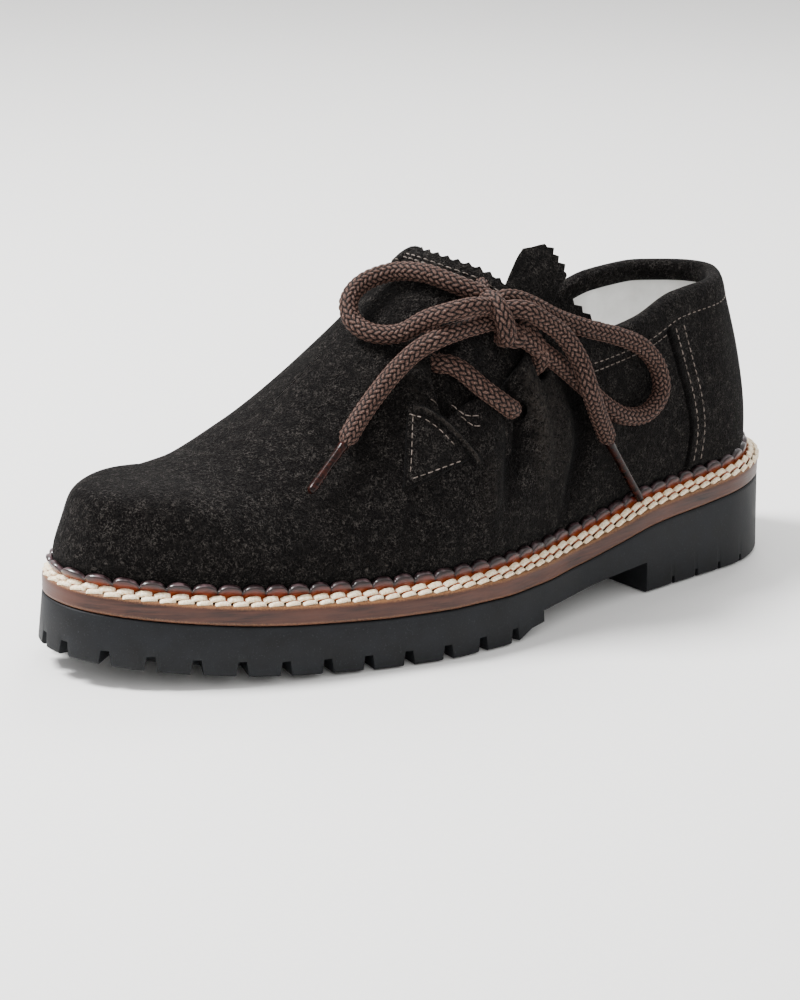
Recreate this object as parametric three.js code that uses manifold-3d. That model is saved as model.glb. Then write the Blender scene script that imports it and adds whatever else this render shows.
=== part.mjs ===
// Haferl shoe, left foot: a low suede shoe laced on its lateral side, with a scalloped welt,
// a leather midsole and a lugged rubber outsole with its heel in one piece.
// Millimetres. +X runs to the toe, +Y to the lateral side, +Z up, the floor is z = 0.

import * as THREE from 'three';
import Module from 'manifold-3d';

const wasm = await Module();
wasm.setup();

// Driving sizes

const LENGTH = 300; // outsole's top edge, heel to toe
const BALL_WIDTH = 104; // across the widest place of the outline
const HEEL_SOLE = 29; // rubber under the heel, floor to top edge
const FORE_SOLE = 16.2; // rubber under the ball
const TOE_SPRING = 8; // how far the toe tip lifts off the floor
const SOLE_FLARE = 1.3; // how far the outsole's foot stands out past its top edge
const MIDSOLE_THICKNESS = 6.3;
const LEDGE_WIDTH = 8.5; // from the outline in to the upper, at the side
const INSTEP_RISE = 97.2; // crest of the last over the ball's ledge, where the vamp ends
const TOE_RISE = 35.2; // crest of the toe box over the ball's ledge
const HEEL_COLLAR_RISE = 66.4; // collar over the heel's ledge, at the back
const SIDE_COLLAR_RISE = 55.4; // collar over the heel's ledge, at its lowest place
const THROAT_RISE = 99.2; // vamp's top edge over the ball's ledge
const WALL = 2.2; // suede and lining
const GAP = 0.3; // between pieces that meet
const BAND_WIDTH = 9; // padded collar band
const BAND_STEP = 0.8; // how far the band stands out
const BAND_LEAN = 0.6; // share of its width by which the band's lower edge follows a slope
const BAND_STRETCH = 1.3; // most that a slope narrows the band, seen from the side
const COUNTER_STEP = 0.7; // how far the heel counter stands out
const PATCH_STEP = 0.9; // how far the triangular patch stands out
const INSOLE_THICKNESS = 3;
const TONGUE_THICKNESS = 1.8;
const TONGUE_CLEARANCE = 0.85; // under the upper's inner face
const TONGUE_PLEAT = 2.4; // height of the tongue's standing pleat
const TONGUE_HOLLOW = 3.6; // how far the tongue's free edge is cut back in its middle
const TOOTH = 1.7; // depth of the pinked teeth
const LACE_DIAMETER = 6.6;
const KNOT_DIAMETER = 9;
const EYELET_DIAMETER = 6.4;
const AGLET_DIAMETER = 3.4;
const WELT_FOOT = 5.2; // width of the welt's stitched foot
const WELT_FOOT_HEIGHT = 1.3;
const WELT_STRIP = 2; // thickness of the standing strip at its foot
const SCALLOP_PITCH = 7.5;
const SCALLOP_LOW = 2.5; // strip's height between two scallops
const SCALLOP_HIGH = 4.7; // strip's height at a scallop's crown
const BREAST = 85; // front face of the heel, from the back
const ARCH_HEIGHT = 11; // hollow under the waist, at the breast
const RAMP_LENGTH = 16; // slope from that hollow down to the first notch
const RAMP_HEIGHT = 3.5; // foot of the rubber where the slope begins
const LUG_START = 159; // first side notch behind the ball, from the heel
const LUG_PITCH = 14.4; // notch to notch round the forefoot
const NOTCH_WIDTH = 4.6;
const NOTCH_TAPER = 0.6; // share of its width that a notch keeps at its top
const NOTCH_HEIGHT = 5;
const NOTCH_DEPTH = 11;
const HEEL_NOTCH_WIDTH = 2.2;
const HEEL_NOTCH_HEIGHT = 3;
const HEEL_NOTCH_PITCH = 13;
const TREAD_DEPTH = 3.5; // recess of the forefoot tread inside its lugs
const TREAD_RIM = 18; // width of the lugged rim round that recess
const CLEAT = [20, 6]; // arm length and width of the cross cleats in the recess
const CLEAT_PITCH = 27;
const CUT_REACH = 12; // how far the upper's cutters stand out of it

// Datum heights

const HEEL_LEDGE = HEEL_SOLE + MIDSOLE_THICKNESS + GAP;
const BALL_LEDGE = FORE_SOLE + MIDSOLE_THICKNESS + GAP;
const TOE_CREST = BALL_LEDGE + TOE_RISE;
const INSTEP_CREST = BALL_LEDGE + INSTEP_RISE;

// Sampling

const SOLE_STEPS = 42; // stations along one side of the sole
const LAST_STEPS = 34; // stations along one side of the upper
const LAST_RINGS = 13; // rings from the feather line up to the crest
const FACET_TOLERANCE = 0.04; // corners closer than this to their neighbours' faces are dropped

// Tables: each row is a section, with its place as a share of LENGTH

// place, lateral and medial half width as shares of BALL_WIDTH
const OUTLINE = [
  [0.0, 0.288, 0.288],
  [0.06, 0.332, 0.327],
  [0.133, 0.359, 0.356],
  [0.267, 0.4, 0.346],
  [0.4, 0.447, 0.317],
  [0.483, 0.51, 0.351],
  [0.55, 0.543, 0.404],
  [0.607, 0.542, 0.452],
  [0.667, 0.513, 0.481],
  [0.74, 0.463, 0.495],
  [0.817, 0.409, 0.481],
  [0.883, 0.361, 0.447],
  [1.0, 0.288, 0.365],
];

// place, share of the way from FORE_SOLE up to HEEL_SOLE
const RUBBER_TOP = [
  [0.0, 1.0],
  [0.067, 0.94],
  [0.167, 0.75],
  [0.267, 0.58],
  [0.333, 0.31],
  [0.4, 0.09],
  [0.467, 0.016],
  [1.0, 0.0],
];

// place, share of the way from TOE_CREST up to INSTEP_CREST
const CREST = [
  [0.0, 1.484],
  [0.1, 1.484],
  [0.267, 1.435],
  [0.433, 1.226],
  [0.533, 1.0],
  [0.6, 0.734],
  [0.667, 0.481],
  [0.74, 0.242],
  [0.82, 0.058],
  [0.873, 0.013],
  [1.0, 0.0],
];

// place, sideways place of the crest line as a share of BALL_WIDTH
const CREST_SIDE = [
  [0.0, 0.0],
  [0.2, 0.0],
  [0.4, -0.019],
  [0.6, -0.038],
  [0.8, -0.048],
  [1.0, -0.048],
];

// hollow under the waist: share of its length from the breast, share of its height
const ARCH = [
  [0.0, 1.0],
  [0.43, 0.855],
  [0.69, 0.727],
  [1.0, 0.673],
];

// slope in front of that hollow: share of its length before the first notch, share of its height
const RAMP = [
  [1.0, 1.0],
  [0.56, 0.83],
  [0.06, 0.0],
];

// place, squareness of a rib, swell of its lower part, lean inwards of its upper part
const RIB = [
  [0.0, 2.7, 0.06, 0.68],
  [0.05, 2.69, 0.058, 0.63],
  [0.15, 2.65, 0.046, 0.33],
  [0.3, 2.42, 0.035, 0.14],
  [0.467, 2.1, 0.03, 0.0],
  [0.567, 1.95, 0.031, 0.0],
  [0.667, 2.0, 0.035, 0.0],
  [0.8, 2.5, 0.062, 0.0],
  [0.873, 3.8, 0.085, 0.0],
  [1.0, 9.0, 0.13, 0.0],
];

// place, width of the ledge as a share of LEDGE_WIDTH
const LEDGE = [
  [0.0, 0.82],
  [0.067, 0.87],
  [0.2, 1.0],
  [0.8, 1.0],
  [0.95, 0.94],
  [1.0, 0.88],
];

// place, share of the collar's extra height at the heel, share of its extra height at the throat
const TOPLINE = [
  [-0.05, 1.09, 0.0],
  [0.05, 1.09, 0.0],
  [0.133, 1.0, 0.0],
  [0.2, 0.86, 0.0],
  [0.267, 0.32, 0.0],
  [0.31, 0.14, 0.0],
  [0.367, 0.0, 0.0],
  [0.423, 0.0, 0.23],
  [0.46, 0.0, 0.65],
  [0.487, 0.0, 0.87],
  [0.517, 0.0, 1.0],
  [0.56, 0.0, 1.35],
];

// height as a share of HEEL_COLLAR_RISE, place of the counter's front seam as a share of LENGTH
const COUNTER_SEAM = [
  [0.04, 0.19],
  [0.25, 0.183],
  [0.42, 0.19],
  [0.59, 0.203],
  [0.76, 0.217],
];

// Patches on the last. A row is a cross line: place and rise (degrees) of its lower end, then
// of its upper end, on the lateral side
const THROAT = [
  [0.59, 37.6, 0.592, 38.6],
  [0.563, 38.0, 0.589, 44.3],
  [0.533, 36.5, 0.586, 51.1],
  [0.5, 34.2, 0.57, 54.5],
  [0.479, 36.4, 0.54, 56.2],
  [0.447, 38.1, 0.5, 56.0],
  [0.418, 40.0, 0.461, 54.0],
  [0.385, 42.5, 0.42, 54.5],
];

const PATCH = [
  [0.62, 49.4, 0.616, 49.2],
  [0.634, 43.8, 0.6, 43.0],
  [0.647, 36.5, 0.583, 35.5],
  [0.66, 28.1, 0.566, 26.4],
];

const TONGUE = [
  [0.627, 37.0, 0.63, 46.0],
  [0.593, 28.0, 0.6, 57.0],
  [0.517, 22.0, 0.54, 61.0],
  [0.46, 20.0, 0.49, 60.0],
  [0.407, 19.0, 0.455, 57.0],
  [0.353, 20.0, 0.43, 60.0],
  [0.3, 27.0, 0.41, 63.5],
];

// place and rise of the lace holes: two in the quarter's flap, two in the vamp
const EYELETS = [
  [0.485, 28.3],
  [0.437, 32.5],
  [0.562, 61.0],
  [0.49, 61.5],
];

// place and rise of the lace bar's middle line, from the vamp's edge to the flap's lower hole
const BAR = [
  [0.552, 50.5],
  [0.536, 46.0],
  [0.515, 39.5],
  [0.49, 31.0],
];

// The laces' routes, as chosen points from the knot outwards, in millimetres
const LEFT_LOOP = [
  [155.4, 25.7, 114.1],
  [159.8, 20.9, 115.3],
  [165.2, 11.3, 117.9],
  [171.0, 1.6, 117.1],
  [180.0, -2.5, 113.6],
  [187.4, -0.5, 108.7],
  [189.4, 4.5, 103.2],
  [187.0, 11.6, 100.3],
  [181.3, 19.1, 101.0],
  [176.5, 27.2, 106.8],
  [171.2, 34.3, 110.3],
  [164.0, 37.7, 111.6],
  [160.0, 38.0, 110.8],
];
const RIGHT_LOOP = [
  [142.8, 31.4, 110.3],
  [134.5, 31.7, 107.0],
  [124.5, 32.5, 101.8],
  [111.9, 33.8, 97.0],
  [97.0, 34.3, 92.4],
  [85.1, 34.6, 87.0],
  [76.9, 34.5, 78.6],
  [75.7, 35.5, 70.3],
  [82.8, 36.8, 64.1],
  [94.4, 37.8, 64.5],
  [105.0, 38.2, 70.0],
  [116.0, 37.8, 78.9],
  [127.5, 37.2, 87.9],
  [137.8, 37.2, 94.8],
  [142.5, 37.1, 98.0],
];
const LEFT_TAIL = [
  [158.8, 33.2, 104.0],
  [166.5, 33.2, 103.2],
  [175.3, 32.2, 101.2],
  [181.3, 28.6, 97.3],
  [187.5, 25.7, 91.1],
  [196.3, 25.5, 83.2],
  [203.7, 26.8, 76.9],
  [211.2, 28.8, 70.1],
];
const RIGHT_TAIL = [
  [143.5, 39.6, 107.9],
  [139.1, 40.5, 105.1],
  [129.9, 41.7, 98.8],
  [123.5, 43.7, 89.8],
  [120.6, 46.2, 80.3],
  [112.9, 43.2, 69.1],
  [103.6, 39.5, 57.3],
];
const LEFT_AGLET = [
  [211.5, 28.9, 69.8],
  [227.2, 32.5, 57.9],
];
const RIGHT_AGLET = [
  [103.3, 39.4, 56.9],
  [85.3, 37.8, 33.1],
];
const KNOT = [
  [151.2, 28.1, 114.3],
  [151.9, 33.9, 107.4],
  [150.2, 37.5, 99.1],
];

// Monotone cubic through one column of a table
function column(table, index, scale = 1, shift = 0) {
  const xs = table.map((row) => row[0] * LENGTH);
  const ys = table.map((row) => row[index] * scale + shift);
  const last = xs.length - 1;
  const steps = xs.slice(1).map((x, i) => x - xs[i]);
  const rates = steps.map((h, i) => (ys[i + 1] - ys[i]) / h);
  const slopes = xs.map((x, i) => {
    if (i === 0) return rates[0];
    if (i === last) return rates[last - 1];
    const before = rates[i - 1];
    const after = rates[i];
    if (before * after <= 0) return 0;
    const w1 = 2 * steps[i] + steps[i - 1];
    const w2 = steps[i] + 2 * steps[i - 1];
    return (w1 + w2) / (w1 / before + w2 / after);
  });
  return (place) => {
    const x = THREE.MathUtils.clamp(place, xs[0], xs[last]);
    let i = 0;
    while (i < last - 1 && x > xs[i + 1]) i += 1;
    const h = steps[i];
    const s = (x - xs[i]) / h;
    const bend = ys[i] * (1 + 2 * s) * (1 - s) ** 2 + ys[i + 1] * s * s * (3 - 2 * s);
    return bend + h * (slopes[i] * s * (1 - s) ** 2 - slopes[i + 1] * s * s * (1 - s));
  };
}

const lateralHalf = column(OUTLINE, 1, BALL_WIDTH);
const medialHalf = column(OUTLINE, 2, BALL_WIDTH);
const rubberRise = column(RUBBER_TOP, 1, HEEL_SOLE - FORE_SOLE, FORE_SOLE);
const crestHeight = column(CREST, 1, INSTEP_CREST - TOE_CREST, TOE_CREST);
const crestSide = column(CREST_SIDE, 1, BALL_WIDTH);
const squareness = column(RIB, 1);
const swell = column(RIB, 2);
const lean = column(RIB, 3);
const ledgeWidth = column(LEDGE, 1, LEDGE_WIDTH);
const throatExtra = BALL_LEDGE + THROAT_RISE - HEEL_LEDGE - SIDE_COLLAR_RISE;
const heelExtra = column(TOPLINE, 1, HEEL_COLLAR_RISE - SIDE_COLLAR_RISE);
const frontExtra = column(TOPLINE, 2, throatExtra);
const HEEL_ROUND = 0.133 * LENGTH; // length of the outline's round heel
const TOE_ROUND = 0.207 * LENGTH; // length of its round toe
const HEEL_FOCUS = 0.14 * LENGTH; // where the ribs of the heel run together on the crest
const TOE_FOCUS = 0.853 * LENGTH; // where the ribs of the toe run together
const SPRING_START = 0.683 * LENGTH; // where the toe begins to lift
const HEEL_NOTCH_START = 0.106 * LENGTH; // first side notch of the heel
const MEDIAL_BAND_END = 0.5 * LENGTH; // where the collar band ends on the medial side
const PLEAT = { start: 0.72, end: 0.97, middle: 0.8, half: 0.2, round: 0.6 }; // in shares of the tongue
const HEEL_POWER = 2.05;
const TOE_POWER = 2.2;
const SWELL_PEAK = 256 / 27; // makes a quarter of the height the fullest place

// The sole's outline and heights

function roundEnd(x) {
  const heel = Math.max(0, 1 - x / HEEL_ROUND);
  const toe = Math.max(0, (x - (LENGTH - TOE_ROUND)) / TOE_ROUND);
  const power = heel > 0 ? HEEL_POWER : TOE_POWER;
  const inward = Math.min(1, heel > 0 ? heel : toe);
  return (1 - inward ** power) ** (1 / power);
}

// Place along the shoe of station t, from 0 at the heel to 1 at the toe
function place(t) {
  return LENGTH * (0.5 - 0.5 * Math.cos(Math.PI * t));
}

function station(x) {
  return Math.acos(1 - (2 * x) / LENGTH) / Math.PI;
}

// Point of the outline at station t on one side: 1 lateral, -1 medial
function edgePoint(side, t) {
  const x = place(t);
  const middle = (lateralHalf(x) - medialHalf(x)) / 2;
  const reach = side > 0 ? lateralHalf(x) : -medialHalf(x);
  return new THREE.Vector2(x, middle + (reach - middle) * roundEnd(x));
}

// The same, running on past heel and toe to the other side
function aroundPoint(side, t) {
  if (t < 0) return edgePoint(-side, -t);
  if (t > 1) return edgePoint(-side, 2 - t);
  return edgePoint(side, t);
}

function outward(side, t) {
  const step = 1e-3;
  const along = aroundPoint(side, t + step).sub(aroundPoint(side, t - step)).normalize();
  return new THREE.Vector2(-along.y, along.x).multiplyScalar(side);
}

// Outline moved in by a distance
function insetPoint(side, t, inset) {
  return edgePoint(side, t).addScaledVector(outward(side, t), -inset);
}

function toeLift(x) {
  return TOE_SPRING * THREE.MathUtils.clamp((x - SPRING_START) / (LENGTH - SPRING_START), 0, 1) ** 1.6;
}

function rubberTop(x) {
  return rubberRise(x) + toeLift(x);
}

// Height at which what stands on the midsole begins
function ledgeTop(x) {
  return rubberTop(x) + GAP + MIDSOLE_THICKNESS + GAP;
}

function topline(x) {
  return HEEL_LEDGE + SIDE_COLLAR_RISE + heelExtra(x) + frontExtra(x);
}

// The last

// Width of a rib at a share of its height, as a share of its foot
function ribWidth(x, high) {
  const bulge = 1 + swell(x) * SWELL_PEAK * high * (1 - high) ** 3;
  return bulge * (1 - lean(x) * high ** 1.3);
}

// Point of the last's skin: the rib at station t, risen by an angle from foot to crest, and
// moved in by a distance
function skin(side, t, rise, inset) {
  const x = place(t);
  const foot = insetPoint(side, t, ledgeWidth(x) + inset);
  const focus = THREE.MathUtils.clamp(x, HEEL_FOCUS, TOE_FOCUS);
  const base = ledgeTop(foot.x);
  const power = 2 / squareness(x);
  const high = Math.max(0, Math.sin(rise)) ** power;
  const wide = Math.max(0, Math.cos(rise)) ** power * ribWidth(x, high);
  const crestY = crestSide(focus);
  return new THREE.Vector3(
    focus + (foot.x - focus) * wide,
    crestY + (foot.y - crestY) * wide,
    base + (crestHeight(focus) - inset - base) * high,
  );
}

// Rise that reaches a share of a rib's height
function riseTo(x, high) {
  return Math.asin(high ** (squareness(x) / 2));
}

// Lateral skin at a place given as a share of LENGTH and a rise in degrees
function lateralSkin(share, degrees, inset) {
  return skin(1, station(share * LENGTH), THREE.MathUtils.degToRad(degrees), inset);
}

// Solids

class MeshData {
  constructor() {
    this.positions = [];
    this.triangles = [];
    this.known = new Map();
  }

  // Points in one place share one index
  point(p) {
    const key = `${Math.round(p.x * 1e4)},${Math.round(p.y * 1e4)},${Math.round(p.z * 1e4)}`;
    if (!this.known.has(key)) {
      this.known.set(key, this.positions.length / 3);
      this.positions.push(p.x, p.y, p.z);
    }
    return this.known.get(key);
  }

  triangle(a, b, c) {
    if (a !== b && b !== c && c !== a) this.triangles.push(a, b, c);
  }

  quad(a, b, c, d) {
    this.triangle(a, b, c);
    this.triangle(a, c, d);
  }

  solid() {
    const mesh = new wasm.Mesh({
      numProp: 3,
      vertProperties: new Float32Array(this.positions),
      triVerts: new Uint32Array(this.triangles),
    });
    return new wasm.Manifold(mesh);
  }
}

// Solid between rings that run from the heel round by the lateral side, lowest ring first
function loft(rings) {
  const data = new MeshData();
  const rows = rings.map((ring) => ring.map((p) => data.point(p)));
  const count = rows[0].length;
  for (let j = 0; j + 1 < rows.length; j += 1) {
    for (let k = 0; k < count; k += 1) {
      const next = (k + 1) % count;
      data.quad(rows[j][k], rows[j + 1][k], rows[j + 1][next], rows[j][next]);
    }
  }
  const low = rows[0];
  const high = rows[rows.length - 1];
  for (let k = 0; k < count / 2; k += 1) {
    const near = (count - k) % count;
    const far = count - k - 1;
    data.quad(low[k], low[k + 1], low[far], low[near]);
    data.quad(high[k], high[near], high[far], high[k + 1]);
  }
  return data.solid();
}

// Ring of points from a function of side and station
function ring(steps, pointAt) {
  const points = [];
  for (let k = 0; k < 2 * steps; k += 1) {
    const lateral = k <= steps;
    points.push(pointAt(lateral ? 1 : -1, (lateral ? k : 2 * steps - k) / steps));
  }
  return points;
}

function flatRing(steps, inset, heightAt) {
  return ring(steps, (side, t) => {
    const p = insetPoint(side, t, inset(place(t)));
    return new THREE.Vector3(p.x, p.y, heightAt(p.x));
  });
}

// Solid inside the last's skin, moved in by a distance, with its foot dropped by another
function lastSolid(inset, drop) {
  const rings = [];
  if (drop > 0) {
    rings.push(ring(LAST_STEPS, (side, t) => skin(side, t, 0, inset).setZ(0)));
  }
  for (let j = 0; j <= LAST_RINGS; j += 1) {
    const high = 1 - (1 - j / LAST_RINGS) ** 2;
    rings.push(ring(LAST_STEPS, (side, t) => skin(side, t, riseTo(place(t), high), inset)));
  }
  return loft(rings);
}

// Slab on the last between two depths, over the patch that a table of cross lines gives.
// The shape function can move a point: it takes and returns place, rise and depth
function slab(table, outer, inner, along, across, shape = (p) => p) {
  const data = new MeshData();
  const spaced = table.map((row, i) => [i / (table.length - 1), ...row]);
  const columns = [1, 2, 3, 4].map((i) => column(spaced, i));
  const layer = (depth) => {
    const rows = [];
    for (let i = 0; i <= along; i += 1) {
      const [lowX, lowRise, highX, highRise] = columns.map((f) => f((i / along) * LENGTH));
      const row = [];
      for (let j = 0; j <= across; j += 1) {
        const s = j / across;
        const spot = { x: lowX + (highX - lowX) * s, rise: lowRise + (highRise - lowRise) * s, depth };
        const { x, rise, depth: deep } = shape(spot, i / along, s, j);
        row.push(data.point(lateralSkin(x, rise, deep)));
      }
      rows.push(row);
    }
    return rows;
  };
  const out = layer(outer);
  const inn = layer(inner);
  for (let i = 0; i < along; i += 1) {
    for (let j = 0; j < across; j += 1) {
      data.quad(out[i][j], out[i + 1][j], out[i + 1][j + 1], out[i][j + 1]);
      data.quad(inn[i][j], inn[i][j + 1], inn[i + 1][j + 1], inn[i + 1][j]);
    }
    data.quad(out[i][0], inn[i][0], inn[i + 1][0], out[i + 1][0]);
    data.quad(out[i][across], out[i + 1][across], inn[i + 1][across], inn[i][across]);
  }
  for (let j = 0; j < across; j += 1) {
    data.quad(out[0][j], out[0][j + 1], inn[0][j + 1], inn[0][j]);
    data.quad(out[along][j], inn[along][j], inn[along][j + 1], out[along][j + 1]);
  }
  return data.solid();
}

// Solid of a three.js geometry
function geometrySolid(geometry) {
  const position = geometry.getAttribute('position');
  const index = geometry.getIndex();
  const count = index ? index.count : position.count;
  const data = new MeshData();
  const corner = (i) => data.point(new THREE.Vector3().fromBufferAttribute(position, index ? index.getX(i) : i));
  for (let i = 0; i < count; i += 3) {
    data.triangle(corner(i), corner(i + 1), corner(i + 2));
  }
  return data.solid();
}

// Prism of a side-view outline of [x, z] points, between two sideways places
function sidePrism(points, fromY, toY) {
  const shape = new THREE.Shape(points.map(([x, z]) => new THREE.Vector2(x, z)));
  const geometry = new THREE.ExtrudeGeometry(shape, { depth: toY - fromY, bevelEnabled: false });
  geometry.rotateX(Math.PI / 2);
  geometry.translate(0, toY, 0);
  return geometrySolid(geometry);
}

// Notch cut inwards from the outline, narrower at its top
function notch(side, t, width, height, depth) {
  const edge = edgePoint(side, t);
  const normal = outward(side, t);
  const reach = SOLE_FLARE + 2;
  const foot = toeLift(edge.x);
  const top = foot + height;
  const under = foot - 1;
  const half = width / 2;
  const shape = new THREE.Shape([
    new THREE.Vector2(-half, under),
    new THREE.Vector2(half, under),
    new THREE.Vector2(half * NOTCH_TAPER, top),
    new THREE.Vector2(-half * NOTCH_TAPER, top),
  ]);
  const geometry = new THREE.ExtrudeGeometry(shape, { depth: depth + reach, bevelEnabled: false });
  const out = new THREE.Vector3(normal.x, normal.y, 0);
  const up = new THREE.Vector3(0, 0, 1);
  const along = new THREE.Vector3().crossVectors(up, out);
  const basis = new THREE.Matrix4().makeBasis(along, up, out);
  basis.setPosition(edge.x - out.x * depth, edge.y - out.y * depth, 0);
  geometry.applyMatrix4(basis);
  return geometrySolid(geometry);
}

// Stations spaced by a pitch along one side, from a start place to an end place
function pitched(side, start, end, pitch) {
  const stations = [];
  const fine = 2e-4;
  let travelled = 0;
  let t = station(start);
  let last = edgePoint(side, t);
  stations.push(t);
  while (t + fine <= station(end)) {
    t += fine;
    const next = edgePoint(side, t);
    travelled += next.distanceTo(last);
    last = next;
    if (travelled >= pitch) {
      stations.push(t);
      travelled = 0;
    }
  }
  return stations;
}

// Outsole: rubber with heel, arch, lugs and tread

function buildOutsole() {
  const flareAt = (share) => () => -SOLE_FLARE * (1 - share);
  const heightAt = (share) => (x) => toeLift(x) + (rubberTop(x) - toeLift(x)) * share;
  const rings = [0, 0.5, 1].map((share) => flatRing(SOLE_STEPS, flareAt(share), heightAt(share)));
  const reach = BALL_WIDTH;
  const under = -SOLE_FLARE;
  const hollow = LUG_START - RAMP_LENGTH - BREAST;
  const arch = sidePrism(
    [
      [BREAST, under],
      ...ARCH.map(([share, height]) => [BREAST + hollow * share, ARCH_HEIGHT * height]),
      ...RAMP.map(([share, height]) => [LUG_START - RAMP_LENGTH * share, RAMP_HEIGHT * height]),
      [LUG_START - RAMP_LENGTH * RAMP[2][0], under],
    ],
    -reach,
    reach,
  );
  const cuts = [arch];
  for (const side of [1, -1]) {
    for (const t of pitched(side, LUG_START, LENGTH, LUG_PITCH)) {
      cuts.push(notch(side, t, NOTCH_WIDTH, NOTCH_HEIGHT, NOTCH_DEPTH));
    }
    for (const t of pitched(side, HEEL_NOTCH_START, BREAST - HEEL_NOTCH_PITCH / 2, HEEL_NOTCH_PITCH)) {
      cuts.push(notch(side, t, HEEL_NOTCH_WIDTH, HEEL_NOTCH_HEIGHT, NOTCH_DEPTH / 2));
    }
  }
  const recessRings = [
    flatRing(SOLE_STEPS / 2, () => TREAD_RIM, () => under),
    flatRing(SOLE_STEPS / 2, () => TREAD_RIM, (x) => toeLift(x) + TREAD_DEPTH),
  ];
  const recessBack = LUG_START + TREAD_RIM / 3;
  const behind = sidePrism(
    [[0, 2 * under], [recessBack, 2 * under], [recessBack, HEEL_SOLE], [0, HEEL_SOLE]],
    -reach,
    reach,
  );
  let recess = loft(recessRings).subtract(behind);
  const [arm, thick] = CLEAT;
  for (let x = LUG_START + arm; x < LENGTH - TREAD_RIM - arm / 2; x += CLEAT_PITCH) {
    for (const [long, wide] of [[arm, thick], [thick, arm]]) {
      const block = new THREE.BoxGeometry(long, wide, 2 * (TREAD_DEPTH + TOE_SPRING));
      block.translate(x, (lateralHalf(x) - medialHalf(x)) / 2, TREAD_DEPTH);
      recess = recess.subtract(geometrySolid(block));
    }
  }
  cuts.push(recess);
  return cuts.reduce((solid, cut) => solid.subtract(cut), loft(rings));
}

function buildMidsole() {
  const flush = () => 0;
  return loft([
    flatRing(SOLE_STEPS, flush, (x) => rubberTop(x) + GAP),
    flatRing(SOLE_STEPS, flush, (x) => rubberTop(x) + GAP + MIDSOLE_THICKNESS),
  ]);
}

function buildInsole() {
  const inset = (x) => ledgeWidth(x) + WALL + 2 * GAP;
  return loft([
    flatRing(SOLE_STEPS, inset, ledgeTop),
    flatRing(SOLE_STEPS, inset, (x) => ledgeTop(x) + INSOLE_THICKNESS),
  ]);
}

// Welt: a stitched foot and a scalloped strip that stands against the upper

// Point beside the upper's skin, out by a distance at a height over the ledge
function besideSkin(side, t, out, height) {
  const x = place(t);
  const foot = insetPoint(side, t, ledgeWidth(x));
  const focus = THREE.MathUtils.clamp(x, HEEL_FOCUS, TOE_FOCUS);
  const base = ledgeTop(foot.x);
  const high = height / (crestHeight(focus) - base);
  const power = squareness(x);
  const wide = (1 - high ** power) ** (1 / power) * ribWidth(x, high);
  const crestY = crestSide(focus);
  const bulged = new THREE.Vector2(focus + (foot.x - focus) * wide, crestY + (foot.y - crestY) * wide);
  bulged.addScaledVector(outward(side, t), out);
  return new THREE.Vector3(bulged.x, bulged.y, ledgeTop(bulged.x) + height);
}

function buildWelt() {
  const around = [];
  const fine = 4000;
  let length = 0;
  let last = null;
  for (let i = 0; i <= fine; i += 1) {
    const u = (2 * i) / fine;
    const side = u <= 1 ? 1 : -1;
    const t = u <= 1 ? u : 2 - u;
    const p = insetPoint(side, t, ledgeWidth(place(t)));
    length += last ? p.distanceTo(last) : 0;
    last = p;
    around.push({ side, t, length });
  }
  const scallops = Math.round(length / SCALLOP_PITCH);
  const samples = [
    [0, SCALLOP_LOW],
    [0.3, SCALLOP_HIGH],
    [0.7, SCALLOP_HIGH],
  ];
  const data = new MeshData();
  const sections = [];
  let cursor = 0;
  for (let n = 0; n < scallops; n += 1) {
    for (const [share, height] of samples) {
      const goal = (length * (n + share)) / scallops;
      while (around[cursor].length < goal) cursor += 1;
      const { side, t } = around[cursor];
      const section = [
        besideSkin(side, t, GAP, 0),
        besideSkin(side, t, WELT_FOOT, 0),
        besideSkin(side, t, WELT_FOOT, WELT_FOOT_HEIGHT),
        besideSkin(side, t, GAP + WELT_STRIP, WELT_FOOT_HEIGHT),
        besideSkin(side, t, GAP + 0.4 * WELT_STRIP, height),
      ];
      sections.push(section.map((p) => data.point(p)));
    }
  }
  for (let k = 0; k < sections.length; k += 1) {
    const here = sections[k];
    const next = sections[(k + 1) % sections.length];
    for (let j = 0; j < here.length; j += 1) {
      const up = (j + 1) % here.length;
      data.quad(here[j], here[up], next[up], next[j]);
    }
  }
  return data.solid();
}

// Upper: one wall, open at the collar, at the lateral throat and underneath

function bandStrip(fromX, toX) {
  const top = [];
  const bottom = [];
  const steps = 24;
  for (let i = 0; i <= steps; i += 1) {
    const x = fromX + (toX - fromX) * (i / steps);
    const slope = topline(x + 0.5) - topline(x - 0.5);
    const norm = Math.hypot(1, slope);
    const drop = BAND_WIDTH / Math.min(norm, BAND_STRETCH);
    top.push([x, topline(x) + WALL]);
    bottom.push([x + (slope / norm) * BAND_WIDTH * BAND_LEAN, topline(x) - drop]);
  }
  return [...top, ...bottom.reverse()];
}

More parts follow.
